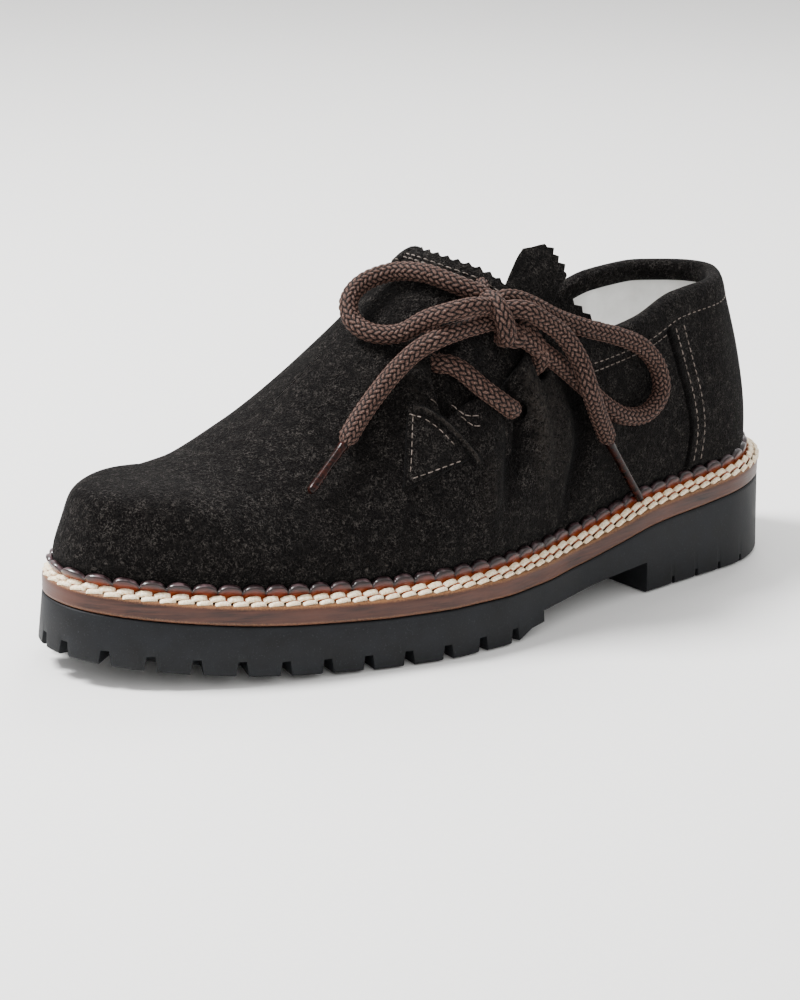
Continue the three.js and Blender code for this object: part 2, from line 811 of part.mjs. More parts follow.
function buildUpper() {
  const reach = BALL_WIDTH;
  const sky = INSTEP_CREST * 2;
  const banded = lastSolid(-BAND_STEP, 0);
  const flapFront = THROAT[6][0] * LENGTH;
  const lateralBand = sidePrism(bandStrip(-BAND_WIDTH, flapFront), 0, reach);
  const medialBand = sidePrism(bandStrip(-BAND_WIDTH, MEDIAL_BAND_END), -reach, 0);
  const band = banded.intersect(lateralBand.add(medialBand));
  const seam = COUNTER_SEAM.map(([rise, share]) => [share * LENGTH, HEEL_LEDGE + rise * HEEL_COLLAR_RISE]);
  const overWelt = [0.0, 0.33, 0.67, 1.0].map((share) => {
    const x = seam[0][0] * share;
    return [x, ledgeTop(x) + SCALLOP_HIGH + 3 * GAP];
  });
  const topBack = [-LEDGE_WIDTH, seam[seam.length - 1][1] + HEEL_COLLAR_RISE * 0.15];
  const counterSide = [[-LEDGE_WIDTH, overWelt[0][1]], ...overWelt, ...seam, topBack];
  const counter = lastSolid(-COUNTER_STEP, 0).intersect(sidePrism(counterSide, -reach, reach));
  const patch = slab(PATCH, -PATCH_STEP, WALL / 2, 6, 4);
  const outer = lastSolid(0, 0).add(band).add(counter).add(patch);
  const steps = 40;
  const above = [];
  const from = TOPLINE[0][0] * LENGTH;
  const to = TOPLINE[TOPLINE.length - 1][0] * LENGTH;
  for (let i = 0; i <= steps; i += 1) {
    const x = from + (to - from) * (i / steps);
    above.push([x, topline(x)]);
  }
  above.push([to, sky], [from, sky]);
  const collar = sidePrism(above, -reach, reach);
  const throat = slab(THROAT, -CUT_REACH, 3 * WALL, 14, 6);
  let wall = outer.subtract(lastSolid(WALL, 1)).subtract(collar).subtract(throat);
  for (const [share, rise] of EYELETS) {
    const centre = lateralSkin(share, rise, WALL / 2);
    const axis = lateralSkin(share, rise, -CUT_REACH).sub(lateralSkin(share, rise, CUT_REACH)).normalize();
    const bore = new THREE.CylinderGeometry(EYELET_DIAMETER / 2, EYELET_DIAMETER / 2, 5 * WALL, 12);
    bore.applyQuaternion(new THREE.Quaternion().setFromUnitVectors(new THREE.Vector3(0, 1, 0), axis));
    bore.translate(centre.x, centre.y, centre.z);
    wall = wall.subtract(geometrySolid(bore));
  }
  return wall;
}

// Tongue: a sheet under the throat, with a standing pleat and a pinked free end

function buildTongue() {
  const outer = WALL + TONGUE_CLEARANCE;
  const along = 14;
  const across = 24;
  const pleat = (spot, a, s, j) => {
    const nearEnd = THREE.MathUtils.smoothstep(a, PLEAT.start, PLEAT.end);
    const ridge = Math.max(0, 1 - Math.abs(s - PLEAT.middle) / PLEAT.half) ** PLEAT.round;
    const isTip = a > 0.999 && j % 2 === 1;
    const tooth = isTip ? TOOTH / LENGTH : 0;
    const hollow = (TONGUE_HOLLOW / LENGTH) * Math.sin(Math.PI * s) * nearEnd;
    return { x: spot.x - tooth + hollow, rise: spot.rise, depth: spot.depth - TONGUE_PLEAT * nearEnd * ridge };
  };
  return slab(TONGUE, outer, outer + TONGUE_THICKNESS, along, across, pleat);
}

// Laces

// Tube along a curve through points, with flat ends
function tubeSolid(points, diameter, sides, steps) {
  const section = new THREE.Shape();
  for (let i = 0; i < sides; i += 1) {
    const angle = (2 * Math.PI * i) / sides;
    const corner = [(Math.cos(angle) * diameter) / 2, (Math.sin(angle) * diameter) / 2];
    if (i === 0) section.moveTo(...corner);
    else section.lineTo(...corner);
  }
  section.closePath();
  const path = new THREE.CatmullRomCurve3(points);
  return geometrySolid(new THREE.ExtrudeGeometry(section, { steps, bevelEnabled: false, extrudePath: path }));
}

function buildLaceBar() {
  const over = -(LACE_DIAMETER / 2 + GAP);
  return tubeSolid(BAR.map(([share, rise]) => lateralSkin(share, rise, over)), LACE_DIAMETER, 10, 6);
}

// Cords: the knot, and the loops, ends and tips that start at its side
function buildCords() {
  const vectors = (points) => points.map((p) => new THREE.Vector3(...p));
  const lace = (points, steps) => tubeSolid(vectors(points), LACE_DIAMETER, 8, steps);
  const tip = (points) => tubeSolid(vectors(points), AGLET_DIAMETER, 8, 1);
  const knot = tubeSolid(vectors(KNOT), KNOT_DIAMETER, 10, 3);
  const roomy = tubeSolid(vectors(KNOT), KNOT_DIAMETER + 2 * GAP, 10, 3);
  return {
    lace_knot: knot,
    lace_loop_left: lace(LEFT_LOOP, 16).subtract(roomy),
    lace_loop_right: lace(RIGHT_LOOP, 20).subtract(roomy),
    lace_tail_left: lace(LEFT_TAIL, 8).subtract(roomy),
    lace_tail_right: lace(RIGHT_TAIL, 8).subtract(roomy),
    aglet_left: tip(LEFT_AGLET),
    aglet_right: tip(RIGHT_AGLET),
  };
}

// The shoe

const suede = { color: 0x2a2420, roughness: 0.95, metalness: 0 };
const rubber = { color: 0x23272a, roughness: 0.7, metalness: 0 };
const leather = { color: 0x6e4c36, roughness: 0.55, metalness: 0 };
const weltLeather = { color: 0x5a2a16, roughness: 0.3, metalness: 0 };
const lining = { color: 0xd2d0ca, roughness: 0.85, metalness: 0 };
const lace = { color: 0x4a3530, roughness: 0.8, metalness: 0 };
const agletPlastic = { color: 0x2e1a16, roughness: 0.3, metalness: 0 };

const shoe = new THREE.Group();

function addPiece(name, solid, finish) {
  const { numProp, vertProperties, triVerts } = solid.simplify(FACET_TOLERANCE).getMesh();
  const positions = new Float32Array((vertProperties.length / numProp) * 3);
  for (let i = 0; i < positions.length / 3; i += 1) {
    for (let k = 0; k < 3; k += 1) positions[3 * i + k] = vertProperties[numProp * i + k];
  }
  const geometry = new THREE.BufferGeometry();
  geometry.setAttribute('position', new THREE.BufferAttribute(positions, 3));
  geometry.setIndex(new THREE.BufferAttribute(new Uint32Array(triVerts), 1));
  geometry.computeVertexNormals();
  const mesh = new THREE.Mesh(geometry, new THREE.MeshStandardMaterial(finish));
  mesh.name = name;
  shoe.add(mesh);
  return mesh;
}

const outsole = addPiece('outsole', buildOutsole(), rubber);
addPiece('midsole', buildMidsole(), leather);
addPiece('insole', buildInsole(), lining);
addPiece('welt', buildWelt(), weltLeather);
addPiece('upper', buildUpper(), suede);
addPiece('tongue', buildTongue(), suede);
addPiece('lace_bar', buildLaceBar(), lace);
for (const [name, solid] of Object.entries(buildCords())) {
  addPiece(name, solid, name.startsWith('aglet') ? agletPlastic : lace);
}

// The origin is on the floor under the middle of the outsole

const solePlan = new THREE.Box3().setFromObject(outsole);
const middle = solePlan.getCenter(new THREE.Vector3());
shoe.position.set(-middle.x, -middle.y, -solePlan.min.z);

export default shoe;
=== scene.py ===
"""Looks of a haferl shoe, left foot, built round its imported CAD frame.

Sizes are in millimetres in the last's own frame (heel's back at x = 0, +Y lateral, floor z = 0)
and become metres in the row frame when a mesh is made.
"""

from __future__ import annotations

import logging
import math
from dataclasses import dataclass, field
from enum import Enum
from typing import Callable, Sequence

import bpy
import numpy as np
from mathutils import Matrix, Vector
from mathutils.bvhtree import BVHTree


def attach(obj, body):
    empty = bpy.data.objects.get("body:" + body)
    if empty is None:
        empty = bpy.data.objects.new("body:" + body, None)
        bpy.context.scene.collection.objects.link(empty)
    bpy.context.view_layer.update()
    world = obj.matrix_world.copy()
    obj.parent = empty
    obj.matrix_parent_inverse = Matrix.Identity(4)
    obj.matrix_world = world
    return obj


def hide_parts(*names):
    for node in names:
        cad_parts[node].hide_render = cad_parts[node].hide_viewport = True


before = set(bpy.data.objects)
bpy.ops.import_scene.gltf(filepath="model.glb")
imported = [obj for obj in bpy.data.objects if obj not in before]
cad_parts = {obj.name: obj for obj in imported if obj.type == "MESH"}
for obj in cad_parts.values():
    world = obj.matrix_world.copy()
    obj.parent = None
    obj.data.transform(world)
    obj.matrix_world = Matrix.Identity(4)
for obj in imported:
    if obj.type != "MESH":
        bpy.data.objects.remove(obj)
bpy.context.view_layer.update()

LOG = logging.getLogger("haferl_shoe")
MM = 0.001
ORIGIN = np.array([150.0, 2.49, 0.0])  # row frame's origin in the last's frame, mm
Array = np.ndarray


class Side(Enum):
    """Which side of the shoe."""

    LATERAL = 1.0
    MEDIAL = -1.0


class FarEnd(Enum):
    """What a free run of the lace ends at."""

    KNOT = "object"
    TIP = "fitting"


# ---- small tools ----


def linear(hex_colour: str) -> tuple[float, float, float, float]:
    """Turn an sRGB hex colour into linear RGBA.

    Args:
        hex_colour: such as "#1c1815".

    Returns:
        The colour as four linear numbers.
    """
    parts = [int(hex_colour[i : i + 2], 16) / 255 for i in (1, 3, 5)]
    flat = [c / 12.92 if c <= 0.04045 else ((c + 0.055) / 1.055) ** 2.4 for c in parts]
    return (flat[0], flat[1], flat[2], 1.0)


def to_row(points: Array) -> Array:
    """Points of the last's frame, in mm, as metres in the row frame."""
    return (np.asarray(points, float) - ORIGIN) * MM


def unit(vectors: Array) -> Array:
    """Vectors scaled to length one."""
    return vectors / np.maximum(np.linalg.norm(vectors, axis=-1, keepdims=True), 1e-12)


def smooth(low: float, high: float, value: Array) -> Array:
    """Smooth step from 0 at low to 1 at high."""
    s = np.clip((np.asarray(value, float) - low) / (high - low), 0, 1)
    return s * s * (3 - 2 * s)


class Curve:
    """Monotone cubic through the rows of a table."""

    def __init__(self, xs: Sequence[float], ys: Sequence[float]) -> None:
        """Work out the slopes.

        Args:
            xs: places, rising.
            ys: value at each place.
        """
        self.x = np.asarray(xs, float)
        self.y = np.asarray(ys, float)
        step = np.diff(self.x)
        rate = np.diff(self.y) / step
        slope = np.zeros_like(self.y)
        slope[0], slope[-1] = rate[0], rate[-1]
        same = rate[:-1] * rate[1:] > 0
        w1, w2 = 2 * step[1:] + step[:-1], step[1:] + 2 * step[:-1]
        before, after = np.where(same, rate[:-1], 1.0), np.where(same, rate[1:], 1.0)
        slope[1:-1] = np.where(same, (w1 + w2) / (w1 / before + w2 / after), 0.0)
        self.step, self.slope = step, slope

    def __call__(self, at: Array) -> Array:
        """Value at places, held beyond the ends."""
        x = np.clip(np.asarray(at, float), self.x[0], self.x[-1])
        i = np.clip(np.searchsorted(self.x, x, side="right") - 1, 0, len(self.step) - 1)
        h = self.step[i]
        s = (x - self.x[i]) / h
        bend = self.y[i] * (1 + 2 * s) * (1 - s) ** 2 + self.y[i + 1] * s * s * (3 - 2 * s)
        return bend + h * (self.slope[i] * s * (1 - s) ** 2 - self.slope[i + 1] * s * s * (1 - s))


def through(points: Sequence[Sequence[float]], spacing: float) -> Array:
    """Centripetal spline through points, sampled evenly.

    Args:
        points: chosen points in mm.
        spacing: about how far apart the samples are, in mm.

    Returns:
        Samples of the spline, an (n, 3) array.
    """
    p = np.asarray(points, float)
    p = np.vstack([2 * p[0] - p[1], p, 2 * p[-1] - p[-2]])
    knots = np.concatenate([[0], np.cumsum(np.linalg.norm(np.diff(p, axis=0), axis=1) ** 0.5)])
    out = []
    for i in range(1, len(p) - 2):
        t0, t1, t2, t3 = knots[i - 1 : i + 3]
        t = np.linspace(t1, t2, 40, endpoint=i == len(p) - 3)[:, None]
        a1 = (t1 - t) / (t1 - t0) * p[i - 1] + (t - t0) / (t1 - t0) * p[i]
        a2 = (t2 - t) / (t2 - t1) * p[i] + (t - t1) / (t2 - t1) * p[i + 1]
        a3 = (t3 - t) / (t3 - t2) * p[i + 1] + (t - t2) / (t3 - t2) * p[i + 2]
        b1 = (t2 - t) / (t2 - t0) * a1 + (t - t0) / (t2 - t0) * a2
        b2 = (t3 - t) / (t3 - t1) * a2 + (t - t1) / (t3 - t1) * a3
        out.append((t2 - t) / (t2 - t1) * b1 + (t - t1) / (t2 - t1) * b2)
    return evenly(np.vstack(out), spacing)


def distance_along(path: Array) -> Array:
    """Distance along a polyline at each of its points, whose first columns are the place."""
    return np.concatenate([[0], np.cumsum(np.linalg.norm(np.diff(path[:, :3], axis=0), axis=1))])


def evenly(path: Array, spacing: float) -> Array:
    """A polyline sampled again at even steps.

    Args:
        path: (n, k) points; the first three columns are the place.
        spacing: about how far apart the samples are.

    Returns:
        The new samples, with both ends kept.
    """
    run = distance_along(path)
    count = max(2, int(round(run[-1] / spacing)) + 1)
    at = np.linspace(0, run[-1], count)
    return np.column_stack([np.interp(at, run, path[:, i]) for i in range(path.shape[1])])


def tangents(path: Array) -> Array:
    """Directions along a polyline."""
    return unit(np.gradient(path, axis=0))


def line_distance(points: Array, line: Array) -> tuple[Array, Array]:
    """Distance of points to a polyline.

    Args:
        points: (n, 3) or (n, 2) places.
        line: (m, 3) or (m, 2) polyline.

    Returns:
        The distances, and the share of the line's length at each nearest place.
    """
    best = np.full(len(points), 1e9)
    share = np.zeros(len(points))
    lengths = np.linalg.norm(np.diff(line, axis=0), axis=1)
    run = np.concatenate([[0], np.cumsum(lengths)])
    for i in range(len(line) - 1):
        d = line[i + 1] - line[i]
        s = np.clip(((points - line[i]) @ d) / max(d @ d, 1e-12), 0, 1)
        gap = np.linalg.norm(points - (line[i] + s[:, None] * d), axis=1)
        near = gap < best
        best = np.where(near, gap, best)
        share = np.where(near, (run[i] + s * lengths[i]) / run[-1], share)
    return best, share


def inside(points: Array, ring: Array) -> Array:
    """Whether 2-D points lie inside a closed polygon."""
    x, y = points[:, 0], points[:, 1]
    found = np.zeros(len(points), bool)
    for a, b in zip(ring, np.roll(ring, -1, 0)):
        crosses = (a[1] > y) != (b[1] > y)
        rise = b[1] - a[1] if b[1] != a[1] else 1e-12
        found ^= crosses & (x < (b[0] - a[0]) * (y - a[1]) / rise + a[0])
    return found


def columns_of(table: Sequence[Sequence[float]]) -> list[Curve]:
    """A curve for each column of a table whose rows are spread evenly from 0 to 1."""
    return [Curve(np.linspace(0, 1, len(table)), column) for column in zip(*table)]


def grid_faces(rows: int, columns: int, wrap: bool = False) -> list[tuple[int, ...]]:
    """Quads of a grid of points, row by row.

    Args:
        rows: number of rows of points.
        columns: points in a row.
        wrap: whether the last column joins the first.

    Returns:
        Faces that look along column direction cross row direction reversed.
    """
    last = columns if wrap else columns - 1
    faces = []
    for j in range(rows - 1):
        for k in range(last):
            n = (k + 1) % columns
            low, high = j * columns, (j + 1) * columns
            faces.append((low + k, high + k, high + n, low + n))
    return faces


# ---- materials ----


class Shader:
    """Node tree of one material."""

    def __init__(self, name: str) -> None:
        """Start a tree under a material's name, with the place in the object's own frame."""
        self.material = bpy.data.materials.new(name)
        self.material.use_nodes = True
        self.tree = self.material.node_tree
        self.tree.nodes.clear()
        self.place = self.add("TexCoord", {}, "Object")

    def add(
        self, kind: str, inputs: dict, out: int | str | None = 0, **settings: object
    ) -> bpy.types.NodeSocket | None:
        """Add a node with its settings and links.

        Args:
            kind: Blender's name of the node type, without its first word ShaderNode.
            inputs: socket, number or hex colour for each input, by name or number.
            out: name or number of the output that is given back, None for no output.
            settings: attributes of the node.

        Returns:
            The output.
        """
        node = self.tree.nodes.new("ShaderNode" + kind)
        for key, value in settings.items():
            setattr(node, key, value)
        for key, value in inputs.items():
            if isinstance(value, bpy.types.NodeSocket):
                self.tree.links.new(value, node.inputs[key])
            else:
                node.inputs[key].default_value = linear(value) if isinstance(value, str) else value
        return None if out is None else node.outputs[out]

    def finish(self, colour: object, roughness: object, surface: dict) -> bpy.types.Material:
        """Close the tree with one principled surface.

        Args:
            colour: its base colour.
            roughness: its roughness.
            surface: its other inputs.

        Returns:
            The material.
        """
        bsdf = self.add("BsdfPrincipled", {"Base Color": colour, "Roughness": roughness, **surface})
        self.add("OutputMaterial", {"Surface": bsdf}, None)
        return self.material


def per_metre(size_mm: float) -> float:
    """Texture scale that gives features of a size in mm."""
    return 1.0 / (size_mm * MM)


@dataclass(frozen=True)
class Suede:
    """Split cowhide brushed to a nap: fibre tips catch light, with painted shade in fold troughs and a
    painted highlight on fold ridges.
    """

    # the nap's darkest tone, also used as the painted shade in fold troughs
    deep: str = "#040303"
    body: str = "#131110"
    lit: str = "#403c39"
    # colour of the painted highlight on fold ridges
    lighter_tone: str = "#37322e"
    nap_mm: float = 1.5  # fibre tufts, drawn coarser than real ones so that they show
    tip_mm: float = 1.5 * 0.55  # their lit tips
    clump_mm: float = 4.0  # strokes of fibres that lean the same way
    patch_mm: float = 13.0  # brushed patches

    def build(self, name: str = "brushed_suede") -> bpy.types.Material:
        """Make the material."""
        s = Shader(name)
        tufts, brushed, tips, clump = (
            s.add("TexNoise", {"Vector": s.place, "Scale": per_metre(size), "Detail": detail,
                               "Roughness": rough, "Distortion": bend})
            for size, detail, rough, bend in (
                (self.nap_mm, 3.0, 0.6, 0.8), (self.patch_mm, 3.0, 0.55, 0.0),
                (self.tip_mm, 1.5, 0.6, 1.4), (self.clump_mm, 2.0, 0.5, 0.0),
            )
        )
        # the fold attribute follows the relief: above zero gives a painted highlight on ridges, below zero
        # painted shade in troughs
        fold = s.add("Attribute", {}, "Fac", attribute_name="fold")
        patch, tuft, stroke, glint, ridge, trough = (
            s.add("MapRange", {"Value": value, "From Min": low, "From Max": high,
                               "To Min": least, "To Max": most})
            for value, low, high, least, most in (
                (brushed, 0.3, 0.7, 0.25, 1.0), (tufts, 0.4, 0.62, 0.0, 1.0), (clump, 0.36, 0.6, 0.2, 1.0),
                (tips, 0.5, 0.7, 0.0, 1.0), (fold, 0.1, 1.0, 0.0, 0.6), (fold, -0.08, -1.0, 0.0, 0.88),
            )
        )
        shown = s.add("Math", {0: glint, 1: stroke}, operation="MULTIPLY")
        painted_ridge_highlight = s.add("Math", {0: ridge, 1: tuft}, operation="MULTIPLY")
        colour = s.add("Mix", {0: patch, 6: self.deep, 7: self.body}, 2, data_type="RGBA")
        colour = s.add("Mix", {0: tuft, 6: self.deep, 7: colour}, 2, data_type="RGBA")
        # lit fibre tips, then painted highlight on fold ridges and painted shade in fold troughs
        for share, over in ((shown, self.lit), (painted_ridge_highlight, self.lighter_tone), (trough, self.deep)):
            colour = s.add("Mix", {0: share, 6: colour, 7: over}, 2, data_type="RGBA")
        relief = s.add("Math", {0: tufts, 1: tips}, operation="ADD")
        bump = s.add("Bump", {"Height": relief, "Strength": 1.0, "Distance": 0.0013})
        return s.finish(
            colour, 0.95,
            {"Specular IOR Level": 0.05, "Sheen Weight": 0.02, "Sheen Roughness": 0.45, "Normal": bump},
        )


@dataclass(frozen=True)
class SmoothLining:
    """Pale grey lining leather, corrected grain: even, faintly creased, a soft shine."""

    pale: str = "#f3f3f1"
    grey: str = "#d6d5d2"
    grain_mm: float = 1.1
    cloud_mm: float = 22.0

    def build(self, name: str = "lining_leather") -> bpy.types.Material:
        """Make the material."""
        s = Shader(name)
        scale = per_metre(self.cloud_mm)
        cloud = s.add("TexNoise", {"Vector": s.place, "Scale": scale, "Detail": 4.0, "Roughness": 0.6})
        grain = s.add(
            "TexVoronoi", {"Vector": s.place, "Scale": per_metre(self.grain_mm)}, "Distance",
            feature="DISTANCE_TO_EDGE",
        )
        lighter_tone = s.add("MapRange", {"Value": cloud, "From Min": 0.35, "From Max": 0.65})
        colour = s.add("Mix", {0: lighter_tone, 6: self.grey, 7: self.pale}, 2, data_type="RGBA")
        bump = s.add("Bump", {"Height": grain, "Strength": 0.25, "Distance": 0.0002})
        return s.finish(colour, 0.5, {"Normal": bump})


@dataclass(frozen=True)
class MouldedRubber:
    """Vulcanised black rubber out of a steel mould: fine matt skin with dust specks."""

    black: str = "#060709"
    grey: str = "#15171b"
    dusty: str = "#2c3033"
    grit_mm: float = 0.5
    dust_mm: float = 11.0

    def build(self, name: str = "moulded_rubber") -> bpy.types.Material:
        """Make the material."""
        s = Shader(name)
        scale = per_metre(self.dust_mm)
        dust = s.add("TexNoise", {"Vector": s.place, "Scale": scale, "Detail": 5.0, "Roughness": 0.6})
        grit = s.add("TexNoise", {"Vector": s.place, "Scale": per_metre(self.grit_mm), "Detail": 2.0})
        speck = s.add("MapRange", {"Value": grit, "From Min": 0.62, "From Max": 0.74, "To Max": 0.6})
        tone = s.add("MapRange", {"Value": dust, "From Min": 0.3, "From Max": 0.75})
        skin = s.add("Mix", {0: tone, 6: self.black, 7: self.grey}, 2, data_type="RGBA")
        colour = s.add("Mix", {0: speck, 6: skin, 7: self.dusty}, 2, data_type="RGBA")
        rough = s.add("MapRange", {"Value": dust, "To Min": 0.5, "To Max": 0.7})
        bump = s.add("Bump", {"Height": grit, "Strength": 0.25, "Distance": 0.0002})
        return s.finish(colour, rough, {"Specular IOR Level": 0.22, "Normal": bump})


@dataclass(frozen=True)
class BurnishedEdge:
    """Sole leather cut, sanded and burnished: streaks along the edge, paler along its eased corners."""

    dark: str = "#130907"
    brown: str = "#4c2b20"
    pale: str = "#835b3b"
    streaks: tuple = (60.0, 60.0, 900.0)  # per metre, so about 17 mm long and 1.1 mm high
    blot_mm: float = 24.0
    fibre_mm: float = 0.5

    def build(self, name: str = "burnished_sole_leather") -> bpy.types.Material:
        """Make the material."""
        s = Shader(name)
        drawn = s.add("Mapping", {"Vector": s.place, "Scale": self.streaks})
        streak = s.add("TexNoise", {"Vector": drawn, "Scale": 1.0, "Detail": 5.0, "Roughness": 0.7})
        cloud = s.add("TexNoise", {"Vector": s.place, "Scale": per_metre(self.blot_mm), "Detail": 4.0})
        fibre = s.add("TexNoise", {"Vector": s.place, "Scale": per_metre(self.fibre_mm), "Detail": 2.0})
        pale_share = s.add("Attribute", {}, "Fac", attribute_name="pale_share")
        lay = s.add("MapRange", {"Value": streak, "From Min": 0.3, "From Max": 0.7})
        blot = s.add("MapRange", {"Value": cloud, "From Min": 0.4, "From Max": 0.65, "To Max": 0.7})
        edge = s.add("Math", {0: pale_share, 1: fibre}, operation="MULTIPLY")
        pale = s.add("MapRange", {"Value": edge, "From Min": 0.15, "From Max": 0.62})
        colour = self.dark
        for share, over in ((lay, self.brown), (blot, self.brown), (pale, self.pale)):
            colour = s.add("Mix", {0: share, 6: colour, 7: over}, 2, data_type="RGBA")
        bump = s.add("Bump", {"Height": streak, "Strength": 0.35, "Distance": 0.0003})
        return s.finish(colour, 0.45, {"Specular IOR Level": 0.3, "Normal": bump})


@dataclass(frozen=True)
class WaxedWelt:
    """Waxed welt leather, dyed red-brown and glazed: light sinks in, so it glows amber."""

    amber: str = "#8a3d12"
    red: str = "#561808"
    dark: str = "#1a0907"
    cloud_mm: float = 6.0

    def build(self, name: str = "glazed_welt_leather") -> bpy.types.Material:
        """Make the material."""
        s = Shader(name)
        cloud = s.add("TexNoise", {"Vector": s.place, "Scale": per_metre(self.cloud_mm), "Detail": 3.0})
        high = s.add("Attribute", {}, "Fac", attribute_name="crown")
        glow = s.add("MapRange", {"Value": high, "From Min": 0.02, "From Max": 0.3})
        base = s.add("Mix", {0: glow, 6: self.amber, 7: self.red}, 2, data_type="RGBA")
        cast = s.add("Math", {0: high, 1: cloud}, operation="ADD")
        shade = s.add("MapRange", {"Value": cast, "From Min": 0.8, "From Max": 1.3})
        colour = s.add("Mix", {0: shade, 6: base, 7: self.dark}, 2, data_type="RGBA")
        bump = s.add("Bump", {"Height": cloud, "Strength": 0.2, "Distance": 0.0004})
        surface = {
            "Specular IOR Level": 0.35, "Coat Weight": 0.2, "Coat Roughness": 0.1, "Subsurface Weight": 0.2,
            "Subsurface Radius": (0.004, 0.0012, 0.0004), "Subsurface Scale": 0.4, "Normal": bump,
        }
        return s.finish(colour, 0.34, surface)


@dataclass(frozen=True)
class CutWeltTop:
    """The welt's cut scallop tops, inked dark plum and polished."""

    plum: str = "#1c0f11"
    lighter_tone: str = "#5c484b"
    cloud_mm: float = 2.5

    def build(self, name: str = "inked_welt_top") -> bpy.types.Material:
        """Make the material."""
        s = Shader(name)
        cloud = s.add("TexNoise", {"Vector": s.place, "Scale": per_metre(self.cloud_mm), "Detail": 4.0})
        lighter_tone = s.add("MapRange", {"Value": cloud, "From Min": 0.46, "From Max": 0.68, "To Max": 0.8})
        colour = s.add("Mix", {0: lighter_tone, 6: self.plum, 7: self.lighter_tone}, 2, data_type="RGBA")
        bump = s.add("Bump", {"Height": cloud, "Strength": 0.3, "Distance": 0.0003})
        return s.finish(colour, 0.32, {"Coat Weight": 0.2, "Normal": bump})


@dataclass(frozen=True)
class Thread:
    """Waxed twisted thread: a soft gloss with a fine lay along the twist."""

    light: str = "#fff4dc"
    shade: str = "#e0c499"
    twist_mm: float = 0.7
    roughness: float = 0.5

    def build(self, name: str) -> bpy.types.Material:
        """Make the material."""
        s = Shader(name)
        lay = s.add("TexNoise", {"Vector": s.place, "Scale": per_metre(self.twist_mm), "Detail": 2.0})
        tone = s.add("MapRange", {"Value": lay, "From Min": 0.35, "From Max": 0.65})
        colour = s.add("Mix", {0: tone, 6: self.shade, 7: self.light}, 2, data_type="RGBA")
        bump = s.add("Bump", {"Height": lay, "Strength": 0.4, "Distance": 0.0003})
        return s.finish(colour, self.roughness, {"Normal": bump})


@dataclass(frozen=True)
class BraidedCord:
    """Spun polyester braid: painted shade in the gaps between strands and a painted highlight on each
    strand's back.
    """

    # colour of the painted shade in the gaps between strands
    gap: str = "#020101"
    strand: str = "#463029"
    # colour of the painted highlight on the strands' backs
    lit: str = "#937a6f"
    fibre_mm: float = 0.35

    def build(self, name: str = "braided_cord") -> bpy.types.Material:
        """Make the material."""
        s = Shader(name)
        fibre = s.add("TexNoise", {"Vector": s.place, "Scale": per_metre(self.fibre_mm), "Detail": 2.0})
        height = s.add("Attribute", {}, "Fac", attribute_name="strand")
        # painted shade where the braid's relief is low, between strands
        back = s.add("MapRange", {"Value": height, "From Min": 0.4, "From Max": 1.0})
        base = s.add("Mix", {0: back, 6: self.gap, 7: self.strand}, 2, data_type="RGBA")
        # painted highlight on the strands' backs, broken up by fibres
        tip = s.add("MapRange", {"Value": fibre, "From Min": 0.45, "From Max": 0.75, "To Max": 0.7})
        pale_share = s.add("Math", {0: tip, 1: back}, operation="MULTIPLY")
        colour = s.add("Mix", {0: pale_share, 6: base, 7: self.lit}, 2, data_type="RGBA")
        bump = s.add("Bump", {"Height": fibre, "Strength": 0.5, "Distance": 0.00025})
        return s.finish(colour, 0.65, {"Specular IOR Level": 0.12, "Normal": bump})


@dataclass(frozen=True)
class ShrunkTip:
    """Clear brown film shrunk over the lace's end: hard, glossy, the cord dark inside."""

    brown: str = "#0c0504"
    pale: str = "#32150f"
    lay_mm: float = 1.6

    def build(self, name: str = "shrunk_film_tip") -> bpy.types.Material:
        """Make the material."""
        s = Shader(name)
        lay = s.add("TexNoise", {"Vector": s.place, "Scale": per_metre(self.lay_mm), "Detail": 2.0})
        tone = s.add("MapRange", {"Value": lay, "From Min": 0.4, "From Max": 0.75})
        colour = s.add("Mix", {0: tone, 6: self.brown, 7: self.pale}, 2, data_type="RGBA")
        bump = s.add("Bump", {"Height": lay, "Strength": 0.15, "Distance": 0.0003})
        return s.finish(colour, 0.22, {"Specular IOR Level": 0.14, "Normal": bump})


@dataclass(frozen=True)
class PaleFloor:
    """Matt white card with a fine tooth."""

    white: str = "#f4f3f1"
    shade: str = "#f0efed"
    tooth_mm: float = 2.0

    def build(self, name: str = "matt_card") -> bpy.types.Material:
        """Make the material."""
        s = Shader(name)
        tooth = s.add("TexNoise", {"Vector": s.place, "Scale": per_metre(self.tooth_mm), "Detail": 2.0})
        colour = s.add("Mix", {0: tooth, 6: self.shade, 7: self.white}, 2, data_type="RGBA")
        return s.finish(colour, 0.9, {})


# ---- the last ----


